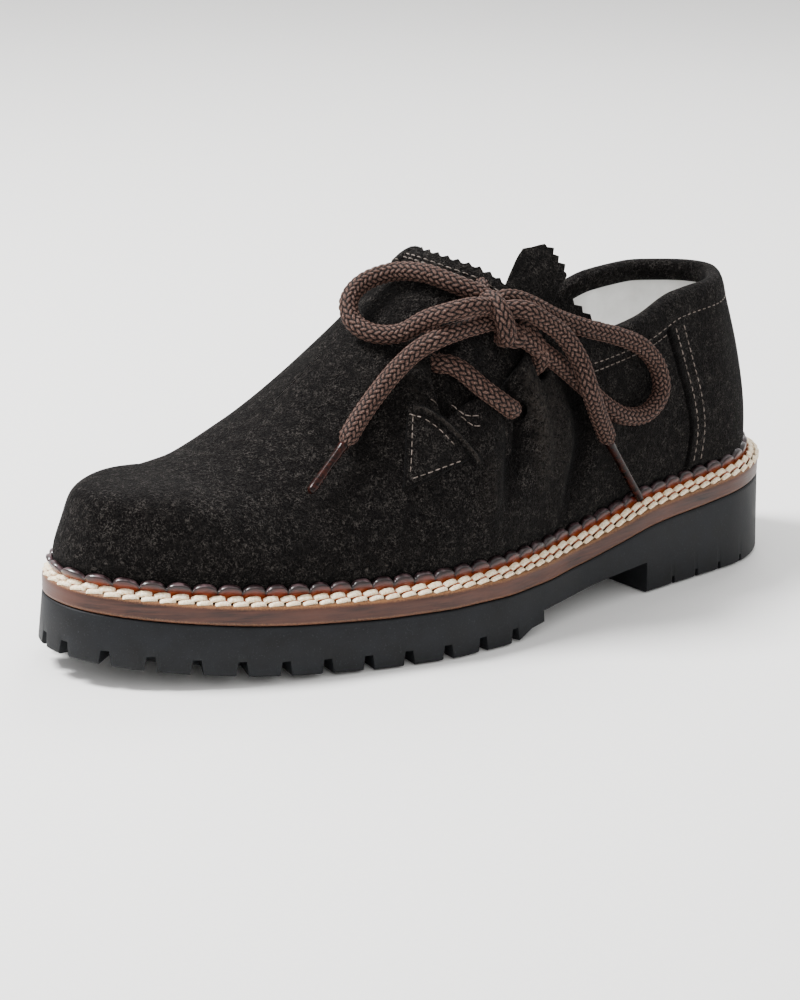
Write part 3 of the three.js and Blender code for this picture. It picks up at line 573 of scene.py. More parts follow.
@dataclass(frozen=True)
class Last:
    """The last and the sole's outline, with the CAD model's own tables, in mm."""

    length: float = 300.0
    ball_width: float = 104.0
    heel_sole: float = 29.0
    fore_sole: float = 16.2
    toe_spring: float = 8.0
    midsole: float = 6.3
    ledge: float = 8.5
    instep_rise: float = 97.2
    toe_rise: float = 35.2
    heel_collar: float = 66.4
    side_collar: float = 55.4
    throat_rise: float = 99.2
    wall: float = 2.2
    gap: float = 0.3
    outline: tuple = (
        (0.0, 0.288, 0.288), (0.06, 0.332, 0.327), (0.133, 0.359, 0.356), (0.267, 0.4, 0.346),
        (0.4, 0.447, 0.317), (0.483, 0.51, 0.351), (0.55, 0.543, 0.404), (0.607, 0.542, 0.452),
        (0.667, 0.513, 0.481), (0.74, 0.463, 0.495), (0.817, 0.409, 0.481), (0.883, 0.361, 0.447),
        (1.0, 0.288, 0.365),
    )
    rubber: tuple = (
        (0.0, 1.0), (0.067, 0.94), (0.167, 0.75), (0.267, 0.58), (0.333, 0.31), (0.4, 0.09),
        (0.467, 0.016), (1.0, 0.0),
    )
    crest: tuple = (
        (0.0, 1.484), (0.1, 1.484), (0.267, 1.435), (0.433, 1.226), (0.533, 1.0), (0.6, 0.734),
        (0.667, 0.481), (0.74, 0.242), (0.82, 0.058), (0.873, 0.013), (1.0, 0.0),
    )
    crest_side: tuple = (
        (0.0, 0.0), (0.2, 0.0), (0.4, -0.019), (0.6, -0.038), (0.8, -0.048), (1.0, -0.048),
    )
    rib: tuple = (
        (0.0, 2.7, 0.06, 0.68), (0.05, 2.69, 0.058, 0.63), (0.15, 2.65, 0.046, 0.33),
        (0.3, 2.42, 0.035, 0.14), (0.467, 2.1, 0.03, 0.0), (0.567, 1.95, 0.031, 0.0),
        (0.667, 2.0, 0.035, 0.0), (0.8, 2.5, 0.062, 0.0), (0.873, 3.8, 0.085, 0.0),
        (1.0, 9.0, 0.13, 0.0),
    )
    ledge_table: tuple = ((0.0, 0.82), (0.067, 0.87), (0.2, 1.0), (0.8, 1.0), (0.95, 0.94), (1.0, 0.88))
    topline_table: tuple = (
        (-0.05, 1.09, 0.0), (0.05, 1.09, 0.0), (0.133, 1.0, 0.0), (0.2, 0.86, 0.0),
        (0.267, 0.32, 0.0), (0.31, 0.14, 0.0), (0.367, 0.0, 0.0), (0.423, 0.0, 0.23),
        (0.46, 0.0, 0.65), (0.487, 0.0, 0.87), (0.517, 0.0, 1.0), (0.56, 0.0, 1.35),
    )
    curves: dict = field(default_factory=dict)

    def column(self, table: str, index: int) -> Curve:
        """One column of a table as a curve over millimetres, made once."""
        key = (table, index)
        if key not in self.curves:
            rows = getattr(self, table)
            self.curves[key] = Curve([r[0] * self.length for r in rows], [r[index] for r in rows])
        return self.curves[key]

    @property
    def heel_ledge(self) -> float:
        """Height of the ledge's underside at the heel."""
        return self.heel_sole + self.midsole + self.gap

    @property
    def ball_ledge(self) -> float:
        """The same at the ball."""
        return self.fore_sole + self.midsole + self.gap

    def place(self, t: Array) -> Array:
        """Place along the shoe of station t, 0 at the heel and 1 at the toe."""
        return self.length * (0.5 - 0.5 * np.cos(np.pi * np.asarray(t, float)))

    def station(self, x: Array) -> Array:
        """Station of a place."""
        return np.arccos(np.clip(1 - 2 * np.asarray(x, float) / self.length, -1, 1)) / np.pi

    def halves(self, x: Array) -> tuple[Array, Array]:
        """Lateral and medial half widths at a place."""
        lateral, medial = (self.column("outline", i)(x) * self.ball_width for i in (1, 2))
        return lateral, medial

    def edge(self, side: Array, t: Array) -> Array:
        """Points of the outline: side 1 lateral, -1 medial."""
        x = self.place(t)
        heel = np.clip(1 - x / (0.133 * self.length), 0, 1)
        toe = np.clip((x - 0.793 * self.length) / (0.207 * self.length), 0, 1)
        power = np.where(heel > 0, 2.05, 2.2)
        inward = np.where(heel > 0, heel, toe)
        round_end = (1 - inward**power) ** (1 / power)
        lateral, medial = self.halves(x)
        middle = (lateral - medial) / 2
        reach = np.where(np.asarray(side) > 0, lateral, -medial)
        return np.stack([x + 0 * reach, middle + (reach - middle) * round_end], -1)

    def around(self, side: Array, t: Array) -> Array:
        """The outline, running on past heel and toe to the other side."""
        side, t = np.broadcast_arrays(np.asarray(side, float), np.asarray(t, float))
        past = (t < 0) | (t > 1)
        turned = np.where(t < 0, -t, np.where(t > 1, 2 - t, t))
        return self.edge(np.where(past, -side, side), turned)

    def outward(self, side: Array, t: Array) -> Array:
        """Outward directions of the outline."""
        t = np.asarray(t)
        along = unit(self.around(side, t + 1e-3) - self.around(side, t - 1e-3))
        return np.stack([-along[..., 1], along[..., 0]], -1) * np.asarray(side, float)[..., None]

    def inset(self, side: Array, t: Array, by: Array) -> Array:
        """Outline moved in by a distance."""
        side = np.asarray(side, float) + 0 * np.asarray(t, float)
        return self.edge(side, t) - self.outward(side, t) * np.asarray(by, float)[..., None]

    def toe_lift(self, x: Array) -> Array:
        """How far the toe has sprung off the floor."""
        start = 0.683 * self.length
        return self.toe_spring * np.clip((x - start) / (self.length - start), 0, 1) ** 1.6

    def rubber_top(self, x: Array) -> Array:
        """Top of the rubber."""
        share = self.column("rubber", 1)(x)
        return self.fore_sole + share * (self.heel_sole - self.fore_sole) + self.toe_lift(x)

    def ledge_top(self, x: Array) -> Array:
        """Where what stands on the midsole begins."""
        return self.rubber_top(x) + self.midsole + 2 * self.gap

    def ledge_width(self, x: Array) -> Array:
        """From the outline in to the upper."""
        return self.column("ledge_table", 1)(x) * self.ledge

    def crest_height(self, x: Array) -> Array:
        """Height of the last's crest."""
        low = self.ball_ledge + self.toe_rise
        return low + self.column("crest", 1)(x) * (self.instep_rise - self.toe_rise)

    def topline(self, x: Array) -> Array:
        """Height of the collar's edge, seen from the side."""
        base = self.heel_ledge + self.side_collar
        front = self.ball_ledge + self.throat_rise - base
        heel = self.heel_collar - self.side_collar
        behind, before = (self.column("topline_table", i)(x) for i in (1, 2))
        return base + behind * heel + before * front

    def focus(self, x: Array) -> Array:
        """Where a rib runs together on the crest."""
        return np.clip(x, 0.14 * self.length, 0.853 * self.length)

    def rib_width(self, x: Array, high: Array) -> Array:
        """Width of a rib at a share of its height."""
        swell, lean = self.column("rib", 2)(x), self.column("rib", 3)(x)
        return (1 + swell * 256 / 27 * high * (1 - high) ** 3) * (1 - lean * high**1.3)

    def skin(self, side: Array, t: Array, rise: Array, inset: Array = 0.0) -> Array:
        """Points of the last's skin.

        Args:
            side: 1 lateral, -1 medial.
            t: station.
            rise: angle from the foot of the rib to the crest, in radians.
            inset: distance inwards.

        Returns:
            Points, with x, y, z last.
        """
        given = (np.asarray(a, float) for a in (side, t, rise, inset))
        side, t, rise, inset = np.broadcast_arrays(*given)
        x = self.place(t)
        foot = self.inset(side, t, self.ledge_width(x) + inset)
        focus = self.focus(x)
        base = self.ledge_top(foot[..., 0])
        power = 2 / self.column("rib", 1)(x)
        high = np.clip(np.sin(rise), 0, 1) ** power
        wide = np.clip(np.cos(rise), 0, 1) ** power * self.rib_width(x, high)
        crest_y = self.column("crest_side", 1)(focus) * self.ball_width
        return np.stack(
            [
                focus + (foot[..., 0] - focus) * wide,
                crest_y + (foot[..., 1] - crest_y) * wide,
                base + (self.crest_height(focus) - inset - base) * high,
            ],
            -1,
        )

    def rise_to(self, x: Array, high: Array) -> Array:
        """Rise that reaches a share of a rib's height."""
        return np.arcsin(np.clip(high, 0, 1) ** (self.column("rib", 1)(x) / 2))

    def spots(self, rows: Sequence[Sequence[float]], inset: float = 0.0) -> Array:
        """Points from rows of (place in mm, rise in degrees[, side])."""
        x, rise, side = np.array([[*r, Side.LATERAL.value][:3] for r in rows], float).T
        return self.skin(side, self.station(x), np.radians(rise), inset)

    def beside(self, side: Array, t: Array, out: Array, height: Array) -> Array:
        """Points beside the skin, out by a distance at a height over the ledge."""
        given = (np.asarray(a, float) for a in (side, t, out, height))
        side, t, out, height = np.broadcast_arrays(*given)
        x = self.place(t)
        foot = self.inset(side, t, self.ledge_width(x))
        focus = self.focus(x)
        high = np.clip(height, 0, None) / (self.crest_height(focus) - self.ledge_top(foot[..., 0]))
        power = self.column("rib", 1)(x)
        wide = (1 - high**power) ** (1 / power) * self.rib_width(x, high)
        crest_y = self.column("crest_side", 1)(focus) * self.ball_width
        crest = np.stack([focus, crest_y], -1)
        flat = crest + (foot - crest) * wide[..., None] + self.outward(side, t) * out[..., None]
        return np.concatenate([flat, (self.ledge_top(flat[..., 0]) + height)[..., None]], -1)

    def lap(self, by: Array | float, count: int) -> tuple[Array, Array, float]:
        """Stations evenly spaced all round the outline moved in by a distance.

        Returns:
            Side and station of each, and the length of the lap.
        """
        w = np.linspace(0, 2, 8001)
        side, t = np.where(w <= 1, 1.0, -1.0), np.where(w <= 1, w, 2 - w)
        ring = self.inset(side, t, by + 0 * t)
        run = distance_along(ring)
        at = np.interp(np.arange(count) / count * run[-1], run, w)
        return np.where(at <= 1, 1.0, -1.0), np.where(at <= 1, at, 2 - at), float(run[-1])


LAST = Last()


# ---- making objects ----


@dataclass
class Sheet:
    """Vertices and faces being gathered for one mesh."""

    points: list = field(default_factory=list)
    faces: list = field(default_factory=list)
    slots: list = field(default_factory=list)
    values: list = field(default_factory=list)

    def add(
        self, points: Array, faces: Sequence[Sequence[int]], slot: int = 0, value: Array | float = 0.0
    ) -> None:
        """Add a part.

        Args:
            points: (n, 3) places in mm.
            faces: indices into them.
            slot: number of its material.
            value: number kept at each point for the material.
        """
        start = sum(len(p) for p in self.points)
        self.points.append(np.asarray(points, float).reshape(-1, 3))
        self.values.append(np.zeros(len(self.points[-1])) + np.asarray(value, float).reshape(-1))
        self.faces += [tuple(int(i) + start for i in f) for f in faces]
        self.slots += [slot] * len(faces)

    def build(
        self, name: str, materials: Sequence[bpy.types.Material], slot: str, attribute: str | None = None
    ) -> bpy.types.Object:
        """Make the object and let it ride on the shoe.

        Args:
            name: object's name.
            materials: its materials.
            slot: not used.
            attribute: name under which the kept numbers are stored.

        Returns:
            The object.
        """
        mesh = bpy.data.meshes.new(name)
        mesh.from_pydata(to_row(np.vstack(self.points)).tolist(), [], self.faces)
        for material in materials:
            mesh.materials.append(material)
        mesh.polygons.foreach_set("material_index", np.array(self.slots, np.int32))
        mesh.polygons.foreach_set("use_smooth", np.ones(len(self.faces), bool))
        if attribute:
            layer = mesh.attributes.new(attribute, "FLOAT", "POINT")
            layer.data.foreach_set("value", np.concatenate(self.values).astype(np.float32))
        mesh.validate(clean_customdata=False)
        mesh.update()
        obj = bpy.data.objects.new(name, mesh)
        bpy.context.scene.collection.objects.link(obj)
        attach(obj, "root")
        LOG.info("%s: %d points, %d faces", name, len(mesh.vertices), len(mesh.polygons))
        return obj


def sharpen(obj: bpy.types.Object, degrees: float = 40.0) -> None:
    """Keep edges above an angle sharp in the shading."""
    obj.data.set_sharp_from_angle(angle=math.radians(degrees))


def tube(
    path: Array,
    radius: Callable[[Array], Array],
    sides: int,
    relief: Callable[[Array, Array], Array] | None = None,
    depth: float = 0.19,
) -> tuple[Array, list, Array]:
    """Tube along a path, closed by rounded ends.

    Args:
        path: (n, 3) evenly spaced samples.
        radius: its radius at a distance along it.
        sides: points round it.
        relief: height of its skin at a distance and an angle, from 0 to 1.
        depth: share of the radius that the relief takes up.

    Returns:
        Points, faces and the relief's height at each point.
    """
    along = tangents(path)
    run = distance_along(path)
    up = np.zeros_like(path)
    seed = np.array([0.0, 0.0, 1.0]) if abs(along[0, 2]) < 0.9 else np.array([0.0, 1.0, 0.0])
    up[0] = unit(seed - along[0] * (seed @ along[0]))
    for i in range(1, len(path)):
        up[i] = unit(up[i - 1] - along[i] * (up[i - 1] @ along[i]))
    beside = np.cross(along, up)
    angle = np.arange(sides) / sides * 2 * np.pi
    r = radius(run)
    height = relief(run[:, None], angle[None, :]) if relief else np.ones((len(run), sides))
    reach = (r[:, None] * (1 + depth * (height - 1)))[..., None]
    wide, tall = np.cos(angle)[None, :, None], np.sin(angle)[None, :, None]
    rings = path[:, None] + reach * (wide * beside[:, None] + tall * up[:, None])
    caps = []
    for end, sign in ((0, -1), (-1, 1)):
        for share, out in ((0.72, 0.55), (0.3, 0.85)):  # of the radius, with rounded ends 0.6 as long
            ring = path[end] + (rings[end] - path[end]) * share + along[end] * sign * r[end] * out * 0.6
            caps.append(ring[None])
    stack = np.concatenate([caps[1], caps[0], rings, caps[2], caps[3]])
    value = np.concatenate([height[:1], height[:1], height, height[-1:], height[-1:]])
    faces = [tuple(reversed(f)) for f in grid_faces(len(stack), sides, wrap=True)]
    total = len(stack) * sides
    faces.append(tuple(range(sides))[::-1])
    faces.append(tuple(range(total - sides, total)))
    return stack.reshape(-1, 3), faces, value.reshape(-1)


def braid(strands: int = 12, lay: float = 2.3) -> Callable[[Array, Array], Array]:
    """Relief of a round braid whose strands pass over two and under two.

    Args:
        strands: strands that run round the cord in each direction, an even number.
        lay: how far along the cord one strand's width reaches, in mm.

    Returns:
        Function of run and angle that gives the height from 0 to 1.
    """

    def height(run: Array, angle: Array) -> Array:
        """Height at a run and an angle."""
        around = angle * strands / (2 * np.pi)
        right, left = around + run / lay, around - run / lay
        i, j = np.floor(right), np.floor(left)
        over = (i + j) % 4 < 2
        across = np.where(over, right - i, left - j)
        ahead = np.where(over, ((i + left) % 4) / 2, ((right + j) % 4 - 2) / 2)
        back = np.sqrt(np.clip(1 - (2 * across - 1) ** 2, 0, 1))
        return np.clip(back * (0.2 + 0.8 * np.sin(np.pi * np.clip(ahead, 0, 1)) ** 0.6), 0, 1)

    return height


@dataclass(frozen=True)
class Stitch:
    """One kind of stitch, in mm."""

    pitch: float
    length: float
    width: float
    height: float  # how far its back stands out
    sink: float = 0.2  # how far its ends sink in
    skew: float = 0.0  # sideways shift from its start to its end
    start: float = 0.5  # share of a pitch before the first one's middle
    blunt: bool = False  # square ends and a flat back, as thick waxed thread pulled tight has


def stitch_row(sheet: Sheet, path: Array, normals: Array, kind: Stitch) -> int:
    """Lay a row of plump stitches along a path.

    Args:
        sheet: gathers the mesh.
        path: (n, 3) samples on the surface.
        normals: surface normals there.
        kind: the stitch.

    Returns:
        How many were laid.
    """
    run = distance_along(path)
    count = int((run[-1] - kind.start * kind.pitch) / kind.pitch) + 1
    # sides, share of length and size at the second ring, size at the tip, squareness, flat back
    ring, near, full, tip, square, flat = (
        (10, 0.03, 0.97, 0.78, 0.55, 0.2) if kind.blunt else (6, 0.07, 0.85, 0.3, 1.0, 0.45)
    )
    ends = np.array([0.0, near, 0.3, 0.7, 1 - near, 1.0])
    size = np.array([tip, full, 1.0, 1.0, full, tip])
    angle = np.arange(ring) / ring * 2 * np.pi
    wide, tall = (np.sign(v) * np.abs(v) ** square for v in (np.cos(angle), np.sin(angle)))
    base_faces = [tuple(reversed(f)) for f in grid_faces(len(ends), ring, wrap=True)]
    base_faces += [tuple(range(ring))[::-1], tuple(range(ring * (len(ends) - 1), ring * len(ends)))]
    for n in range(count):
        middle = (n + kind.start) * kind.pitch
        at = np.clip(middle + (ends - 0.5) * kind.length, 0, run[-1])
        p = np.column_stack([np.interp(at, run, path[:, i]) for i in range(3)])
        up = unit(np.column_stack([np.interp(at, run, normals[:, i]) for i in range(3)]))
        along = unit(p[-1] - p[0] + 1e-9)
        beside = unit(np.cross(up, along[None]))
        arch = np.sin(np.pi * ends)
        rise = kind.height * np.clip(arch, 0, 1) ** flat - kind.sink * (1 - arch)
        wobble = 0.06 * kind.width * math.sin(n * 12.9898)  # no two lie quite alike
        aside = beside * (kind.skew * (ends - 0.5) + wobble)[:, None]
        centre = p + up * (rise - kind.height * 0.5)[:, None] + aside
        rings = centre[:, None] + size[:, None, None] * (
            wide[None, :, None] * beside[:, None] * kind.width / 2
            + tall[None, :, None] * up[:, None] * kind.height * 0.6
        )
        sheet.add(rings.reshape(-1, 3), base_faces)
    return count


# ---- the sole ----


ARCH = ((0.0, 1.0), (0.43, 0.855), (0.69, 0.727), (1.0, 0.673))  # shares of length and height
RAMP = ((1.0, 1.0), (0.56, 0.83), (0.06, 0.0))  # the same of the slope in front of it


@dataclass
class SoleUnit:
    """Rubber outsole, burnished midsole and insole."""

    last: Last
    flare: float = 1.3
    columns: int = 420
    breast: float = 85.0
    arch_height: float = 11.0
    ramp: tuple[float, float] = (16.0, 3.5)
    lug_start: float = 159.0
    lug_pitch: float = 14.4
    notch_width: float = 4.6
    notch_taper: float = 0.6
    notch_height: float = 5.0
    notch_depth: float = 11.0
    heel_notch_width: float = 2.2
    heel_notch_height: float = 3.0
    heel_notch_pitch: float = 13.0
    heel_notch_start: float = 31.8
    tread_depth: float = 3.5
    tread_rim: float = 18.0
    tread_lead: float = 6.0  # from the first lug to the tread's recess
    cleat: tuple[float, float] = (20.0, 6.0)  # length and width of a cross's arms
    cleat_pitch: float = 27.0
    slit: float = 0.02  # keeps neighbouring cutters apart

    def stations(self) -> tuple[Array, Array]:
        """Sides and stations round the sole, evenly spaced."""
        side, t, _ = self.last.lap(0.0, self.columns)
        return side, t

    def prism(self, sheet: Sheet, low: Array, high: Array) -> None:
        """Closed prism between two rings that turn right-handed about the way from low to high.

        Args:
            sheet: gathers the mesh.
            low: lower ring.
            high: upper ring.
        """
        n = len(low)
        sides = [f[::-1] for f in grid_faces(2, n, wrap=True)]
        sheet.add(np.vstack([low, high]), sides + [tuple(range(n))[::-1], tuple(range(n, 2 * n))])

    def box_cut(
        self, sheet: Sheet, side: float, t: float, width: float, height: float, depth: float
    ) -> None:
        """Notch cutter pointing inwards from the outline."""
        edge = self.last.edge(side, t)
        out = self.last.outward(np.array([side]), np.array([t]))[0]
        out3, up = np.array([out[0], out[1], 0.0]), np.array([0.0, 0.0, 1.0])
        along = np.cross(up, out3)
        foot = float(self.last.toe_lift(edge[0]))
        half, top = width / 2, width / 2 * self.notch_taper
        profile = [(-half, foot - 1), (half, foot - 1), (top, foot + height), (-top, foot + height)]
        root = np.array([edge[0], edge[1], 0.0]) - out3 * depth
        low = np.array([root + along * a + up * z for a, z in profile])
        self.prism(sheet, low, low + out3 * (depth + self.flare + 2))

    def pitched(self, side: float, start: float, end: float, pitch: float) -> list[float]:
        """Stations spaced by a pitch along one side."""
        t = np.linspace(float(self.last.station(start)), float(self.last.station(end)), 4000)
        p = self.last.edge(np.full_like(t, side), t)
        run = distance_along(p)
        return [float(np.interp(d, run, t)) for d in np.arange(0, run[-1], pitch)]

    def cutters(self) -> Sheet:
        """Arch and notches cut from the rubber."""
        cut = Sheet()
        last = self.last
        reach = last.ball_width
        hollow = self.lug_start - self.ramp[0] - self.breast
        arch = [(self.breast, -self.flare)]
        arch += [(self.breast + hollow * share, self.arch_height * high) for share, high in ARCH]
        arch += [(self.lug_start - self.ramp[0] * share, self.ramp[1] * high) for share, high in RAMP]
        arch.append((arch[-1][0], -self.flare))
        low = np.array([[x, -reach, z] for x, z in arch])
        self.prism(cut, low, low + np.array([0, 2 * reach, 0]))
        fore = (self.notch_width, self.notch_height, self.notch_depth)
        heel = (self.heel_notch_width, self.heel_notch_height, self.notch_depth / 2)
        pitch = self.heel_notch_pitch
        for side in Side:
            for t in self.pitched(side.value, self.lug_start, last.length, self.lug_pitch):
                self.box_cut(cut, side.value, t, *fore)
            for t in self.pitched(side.value, self.heel_notch_start, self.breast - pitch / 2, pitch):
                self.box_cut(cut, side.value, t, *heel)
        return cut

    def closed(self, rings: list[Array], tones: Array | float = 0.0) -> Sheet:
        """Closed body of rings round the sole.

        Args:
            rings: points of each ring, the lowest first.
            tones: number kept at each point for the material.

        Returns:
            The body.
        """
        n = self.columns
        faces = grid_faces(len(rings), n, wrap=True)
        faces += self.cap_faces(n, 0, True) + self.cap_faces(n, (len(rings) - 1) * n, False)
        sheet = Sheet()
        sheet.add(np.concatenate(rings), faces, 0, tones)
        return sheet

    def rubber(self, finish: bpy.types.Material) -> bpy.types.Object:
        """Build the outsole with rounded edges and cut it by the notches."""
        last = self.last
        side, t = self.stations()
        levels = (  # share of the height, and how far the edge is eased in
            (0.0, 0.9), (0.012, 0.35), (0.04, 0.0), (0.5, 0.0), (0.96, 0.0), (0.985, 0.15), (1.0, 0.45),
        )
        rings = []
        for share, soften in levels:
            p = last.inset(side, t, -self.flare * (1 - share) + soften)
            low = last.toe_lift(p[:, 0])
            z = low + (last.rubber_top(p[:, 0]) - low) * share
            rings.append(np.column_stack([p, z]))
        outsole = self.closed(rings).build("outsole_rubber", [finish], "rubber")
        cut = self.cutters().build("outsole_cutters", [finish], "rubber")
        self.carve(outsole, cut)
        recess = self.recess().build("tread_recess", [finish], "rubber")
        self.carve(outsole, recess)
        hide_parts("outsole")
        bevel = outsole.modifiers.new("soft_edges", "BEVEL")
        bevel.width = 0.35 * MM
        bevel.segments = 2
        bevel.limit_method = "ANGLE"
        bevel.angle_limit = math.radians(50)
        self.apply(outsole)
        sharpen(outsole, 38)
        return outsole

    @staticmethod
    def cap_faces(n: int, start: int, low: bool) -> list[tuple[int, ...]]:
        """Strips across a ring of n points from one side to the other."""
        faces = []
        for k in range(n // 2):
            a, b, c, d = k, k + 1, n - k - 1, (n - k) % n
            face = [start + i for i in dict.fromkeys((a, b, c, d))]
            if len(set(face)) > 2:
                faces.append(tuple(face if low else face[::-1]))
        return faces

    def recess(self) -> Sheet:
        """Tread recess with the cross cleats left standing."""
        last = self.last
        blocks = Sheet()
        arm, step = self.cleat
        sides = np.array([side.value for side in Side])
        first = self.lug_start + arm
        x = self.lug_start + self.tread_lead
        while x < last.length - self.tread_rim:
            middle_x = x + step / 2
            lateral, medial = (float(v) for v in last.halves(middle_x))
            edge = last.inset(sides, last.station(np.full(2, middle_x)), np.full(2, self.tread_rim))
            high, low = float(edge[0, 1]), float(edge[1, 1])
            middle = (lateral - medial) / 2
            near = abs(middle_x - first - round((x - first) / self.cleat_pitch) * self.cleat_pitch)
            half = arm / 2 if near < step / 2 else (step / 2 if near < arm / 2 else 0.0)
            spans = [(low, high)]
            if half and low < middle < high:
                spans = [(low, middle - half), (middle + half, high)]
            end = x + step - self.slit
            for a, b in spans:
                if b - a > 1:
                    ring = np.array([[x, a, -1], [end, a, -1], [end, b, -1], [x, b, -1]], float)
                    top = ring.copy()
                    top[:, 2] = float(last.toe_lift(x)) + self.tread_depth
                    self.prism(blocks, ring, top)
            x += step
        return blocks

    @staticmethod
    def apply(obj: bpy.types.Object) -> None:
        """Put an object's modifiers into its mesh."""
        bpy.context.view_layer.update()
        graph = bpy.context.evaluated_depsgraph_get()
        obj.data = bpy.data.meshes.new_from_object(obj.evaluated_get(graph))
        obj.modifiers.clear()

    def carve(self, obj: bpy.types.Object, cut: bpy.types.Object) -> None:
        """Cut one object from another and remove the cutter."""
        boolean = obj.modifiers.new("cut", "BOOLEAN")
        boolean.operation = "DIFFERENCE"
        boolean.solver = "EXACT"
        boolean.use_self = True
        boolean.object = cut
        self.apply(obj)
        bpy.data.objects.remove(cut)

    def leather(self, finish: bpy.types.Material) -> bpy.types.Object:
        """Build the midsole with eased edges and a groove line."""
        last = self.last
        side, t = self.stations()
        height = last.midsole
        section = (  # inset, height and how pale it is
            (9.0, 0.0, 0.0), (1.2, 0.0, 0.1), (0.35, 0.12, 0.5), (0.05, 0.6, 0.55), (0.0, 1.3, 0.25),
            (0.12, 2.2, 0.0), (0.02, 3.2, 0.0), (0.0, 4.4, 0.1), (0.08, 5.3, 0.35), (0.3, 5.95, 0.9),
            (0.75, 6.25, 1.0), (1.4, height, 0.7), (4.0, height, 0.3), (12.0, height, 0.2),
            (20.0, height, 0.2),
        )
        rings, paleness = [], []
        for inset, z, pale_share in section:
            p = last.inset(side, t, np.full(self.columns, inset))
            seat = last.gap * (0.2 if z == 0 else 1)
            rings.append(np.column_stack([p, last.rubber_top(p[:, 0]) + seat + z]))
            paleness.append(np.full(self.columns, pale_share))
        sheet = self.closed(rings, np.concatenate(paleness))
        obj = sheet.build("midsole_leather", [finish], "midsole_leather", "pale_share")
        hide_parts("midsole")
        return obj

    def insole(self, finish: bpy.types.Material) -> bpy.types.Object:
        """Build the insole with a soft edge and a slight dish."""
        last = self.last
        side, t = self.stations()
        rings = []
        for extra, z in ((0.0, 0.0), (0.0, 2.2), (0.5, 2.8), (1.5, 3.0), (8.0, 2.85), (16.0, 2.6)):
            p = last.inset(side, t, last.ledge_width(last.place(t)) + last.wall + 0.6 + extra)
            rings.append(np.column_stack([p, last.ledge_top(p[:, 0]) + z]))
        obj = self.closed(rings).build("insole_sock", [finish], "lining")
        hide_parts("insole")
        return obj


@dataclass
class Welt:
    """Stitched foot, scalloped standing strip and both rows of sole stitches."""

    last: Last
    foot: float = 5.2
    foot_height: float = 0.9
    pitch: float = 7.5
    strip: float = 2.0
    low: float = 3.0
    high: float = 5.7
    per_scallop: int = 14
    stitch_pitch: float = 5.8

    def build(self, amber: bpy.types.Material, plum: bpy.types.Material) -> bpy.types.Object:
        """Build the welt with round scallops and dark cut tops."""
        last = self.last
        by = last.ledge_width(last.place(0.5))
        _, _, length = last.lap(by, 8)
        scallops = round(length / self.pitch)
        n = scallops * self.per_scallop
        side, t, _ = last.lap(by, n)
        share = (np.arange(n) % self.per_scallop) / self.per_scallop
        arch = np.clip(1 - np.abs(2 * share - 1) ** 2.3, 0, 1) ** 0.6
        front = self.low + (self.high - 0.6 - self.low) * arch
        back = front + 0.3 + 0.3 * arch
        puff, flat = 0.35 * arch, 0 * arch
        gap, foot, thick = last.gap, self.foot, self.foot_height
        face = gap + self.strip
        section = [  # distance out, height, and 0 in the gutter to 1 on the cut top
            (gap, flat, 0.0), (foot, flat, 0.0), (foot + 0.1, flat + 0.7, 0.0),
            (foot - 0.3, flat + thick, 0.0), (face + 0.5, flat + thick, 0.0),
            (face + 0.15, flat + thick + 0.4, 0.0), (face + puff, 0.5 * (front + thick), 0.3),
            (face + puff, front - 0.4, 0.75), (face - 0.15 + 0.6 * puff, front, 1.0),
            (gap + self.strip * 0.45, back - 0.1, 1.0), (gap + 0.1, back, 1.0),
            (gap + 0.02, back - 1.4, 1.0),
        ]
        rings = [last.beside(side, t, out + 0 * arch, height) for out, height, _ in section]
        values = [np.full(n, crown) for _, _, crown in section]
        sheet = Sheet()
        total = len(rings) * n
        faces = [tuple(i % total for i in f) for f in grid_faces(len(rings) + 1, n, wrap=True)]
        sheet.add(np.concatenate(rings), faces, 0, np.concatenate(values))
        top = [8 * n <= min(f) < 10 * n and max(f) < 11 * n for f in faces]  # between rings 8 and 10
        sheet.slots = [int(cut) for cut in top]
        obj = sheet.build("welt_strip", [amber, plum], "welt_leather", "crown")
        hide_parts("welt")
        return obj

    def ledge_path(self, out: float, height: float, count: int = 1400) -> tuple[Array, Array]:
        """Closed path round the ledge, and its upward normals leaning out."""
        last = self.last
        side, t, _ = last.lap(last.ledge_width(last.place(0.5)), count)
        side, t = np.append(side, side[0]), np.append(t, t[0])
        path = last.beside(side, t, np.full(count + 1, out), np.full(count + 1, height))
        lean = last.outward(side, t)
        normals = unit(np.column_stack([lean * 0.45, np.ones(count + 1)]))
        return path, normals

    def stitches(self, thread: bpy.types.Material) -> list[bpy.types.Object]:
        """Lay the inner row of blocks on the welt and the outer row on the midsole."""
        made = []
        for name, out, height, length, width, tall, start in (
            ("stitches_welt_row", 4.0, 0.95, 5.3, 2.1, 1.15, 0.5),
            ("stitches_midsole_row", 6.4, -0.15, 5.2, 1.6, 1.0, 1.0),
        ):
            sheet = Sheet()
            path, normals = self.ledge_path(out, height)
            run = float(np.linalg.norm(np.diff(path, axis=0), axis=1).sum())
            pitch = run / round(run / self.stitch_pitch)
            kind = Stitch(pitch, length, width, tall, skew=0.9, start=start, blunt=True)
            count = stitch_row(sheet, path, normals, kind)
            LOG.info("%s: %d stitches", name, count)
            made.append(sheet.build(name, [thread], "welt_leather"))
        return made


# ---- the upper ----


@dataclass(frozen=True)
class Crease:
    """A soft trough or ridge along a line on the lateral skin."""

    line: tuple
    depth: float  # mm, below zero for a trough
    width: float  # mm


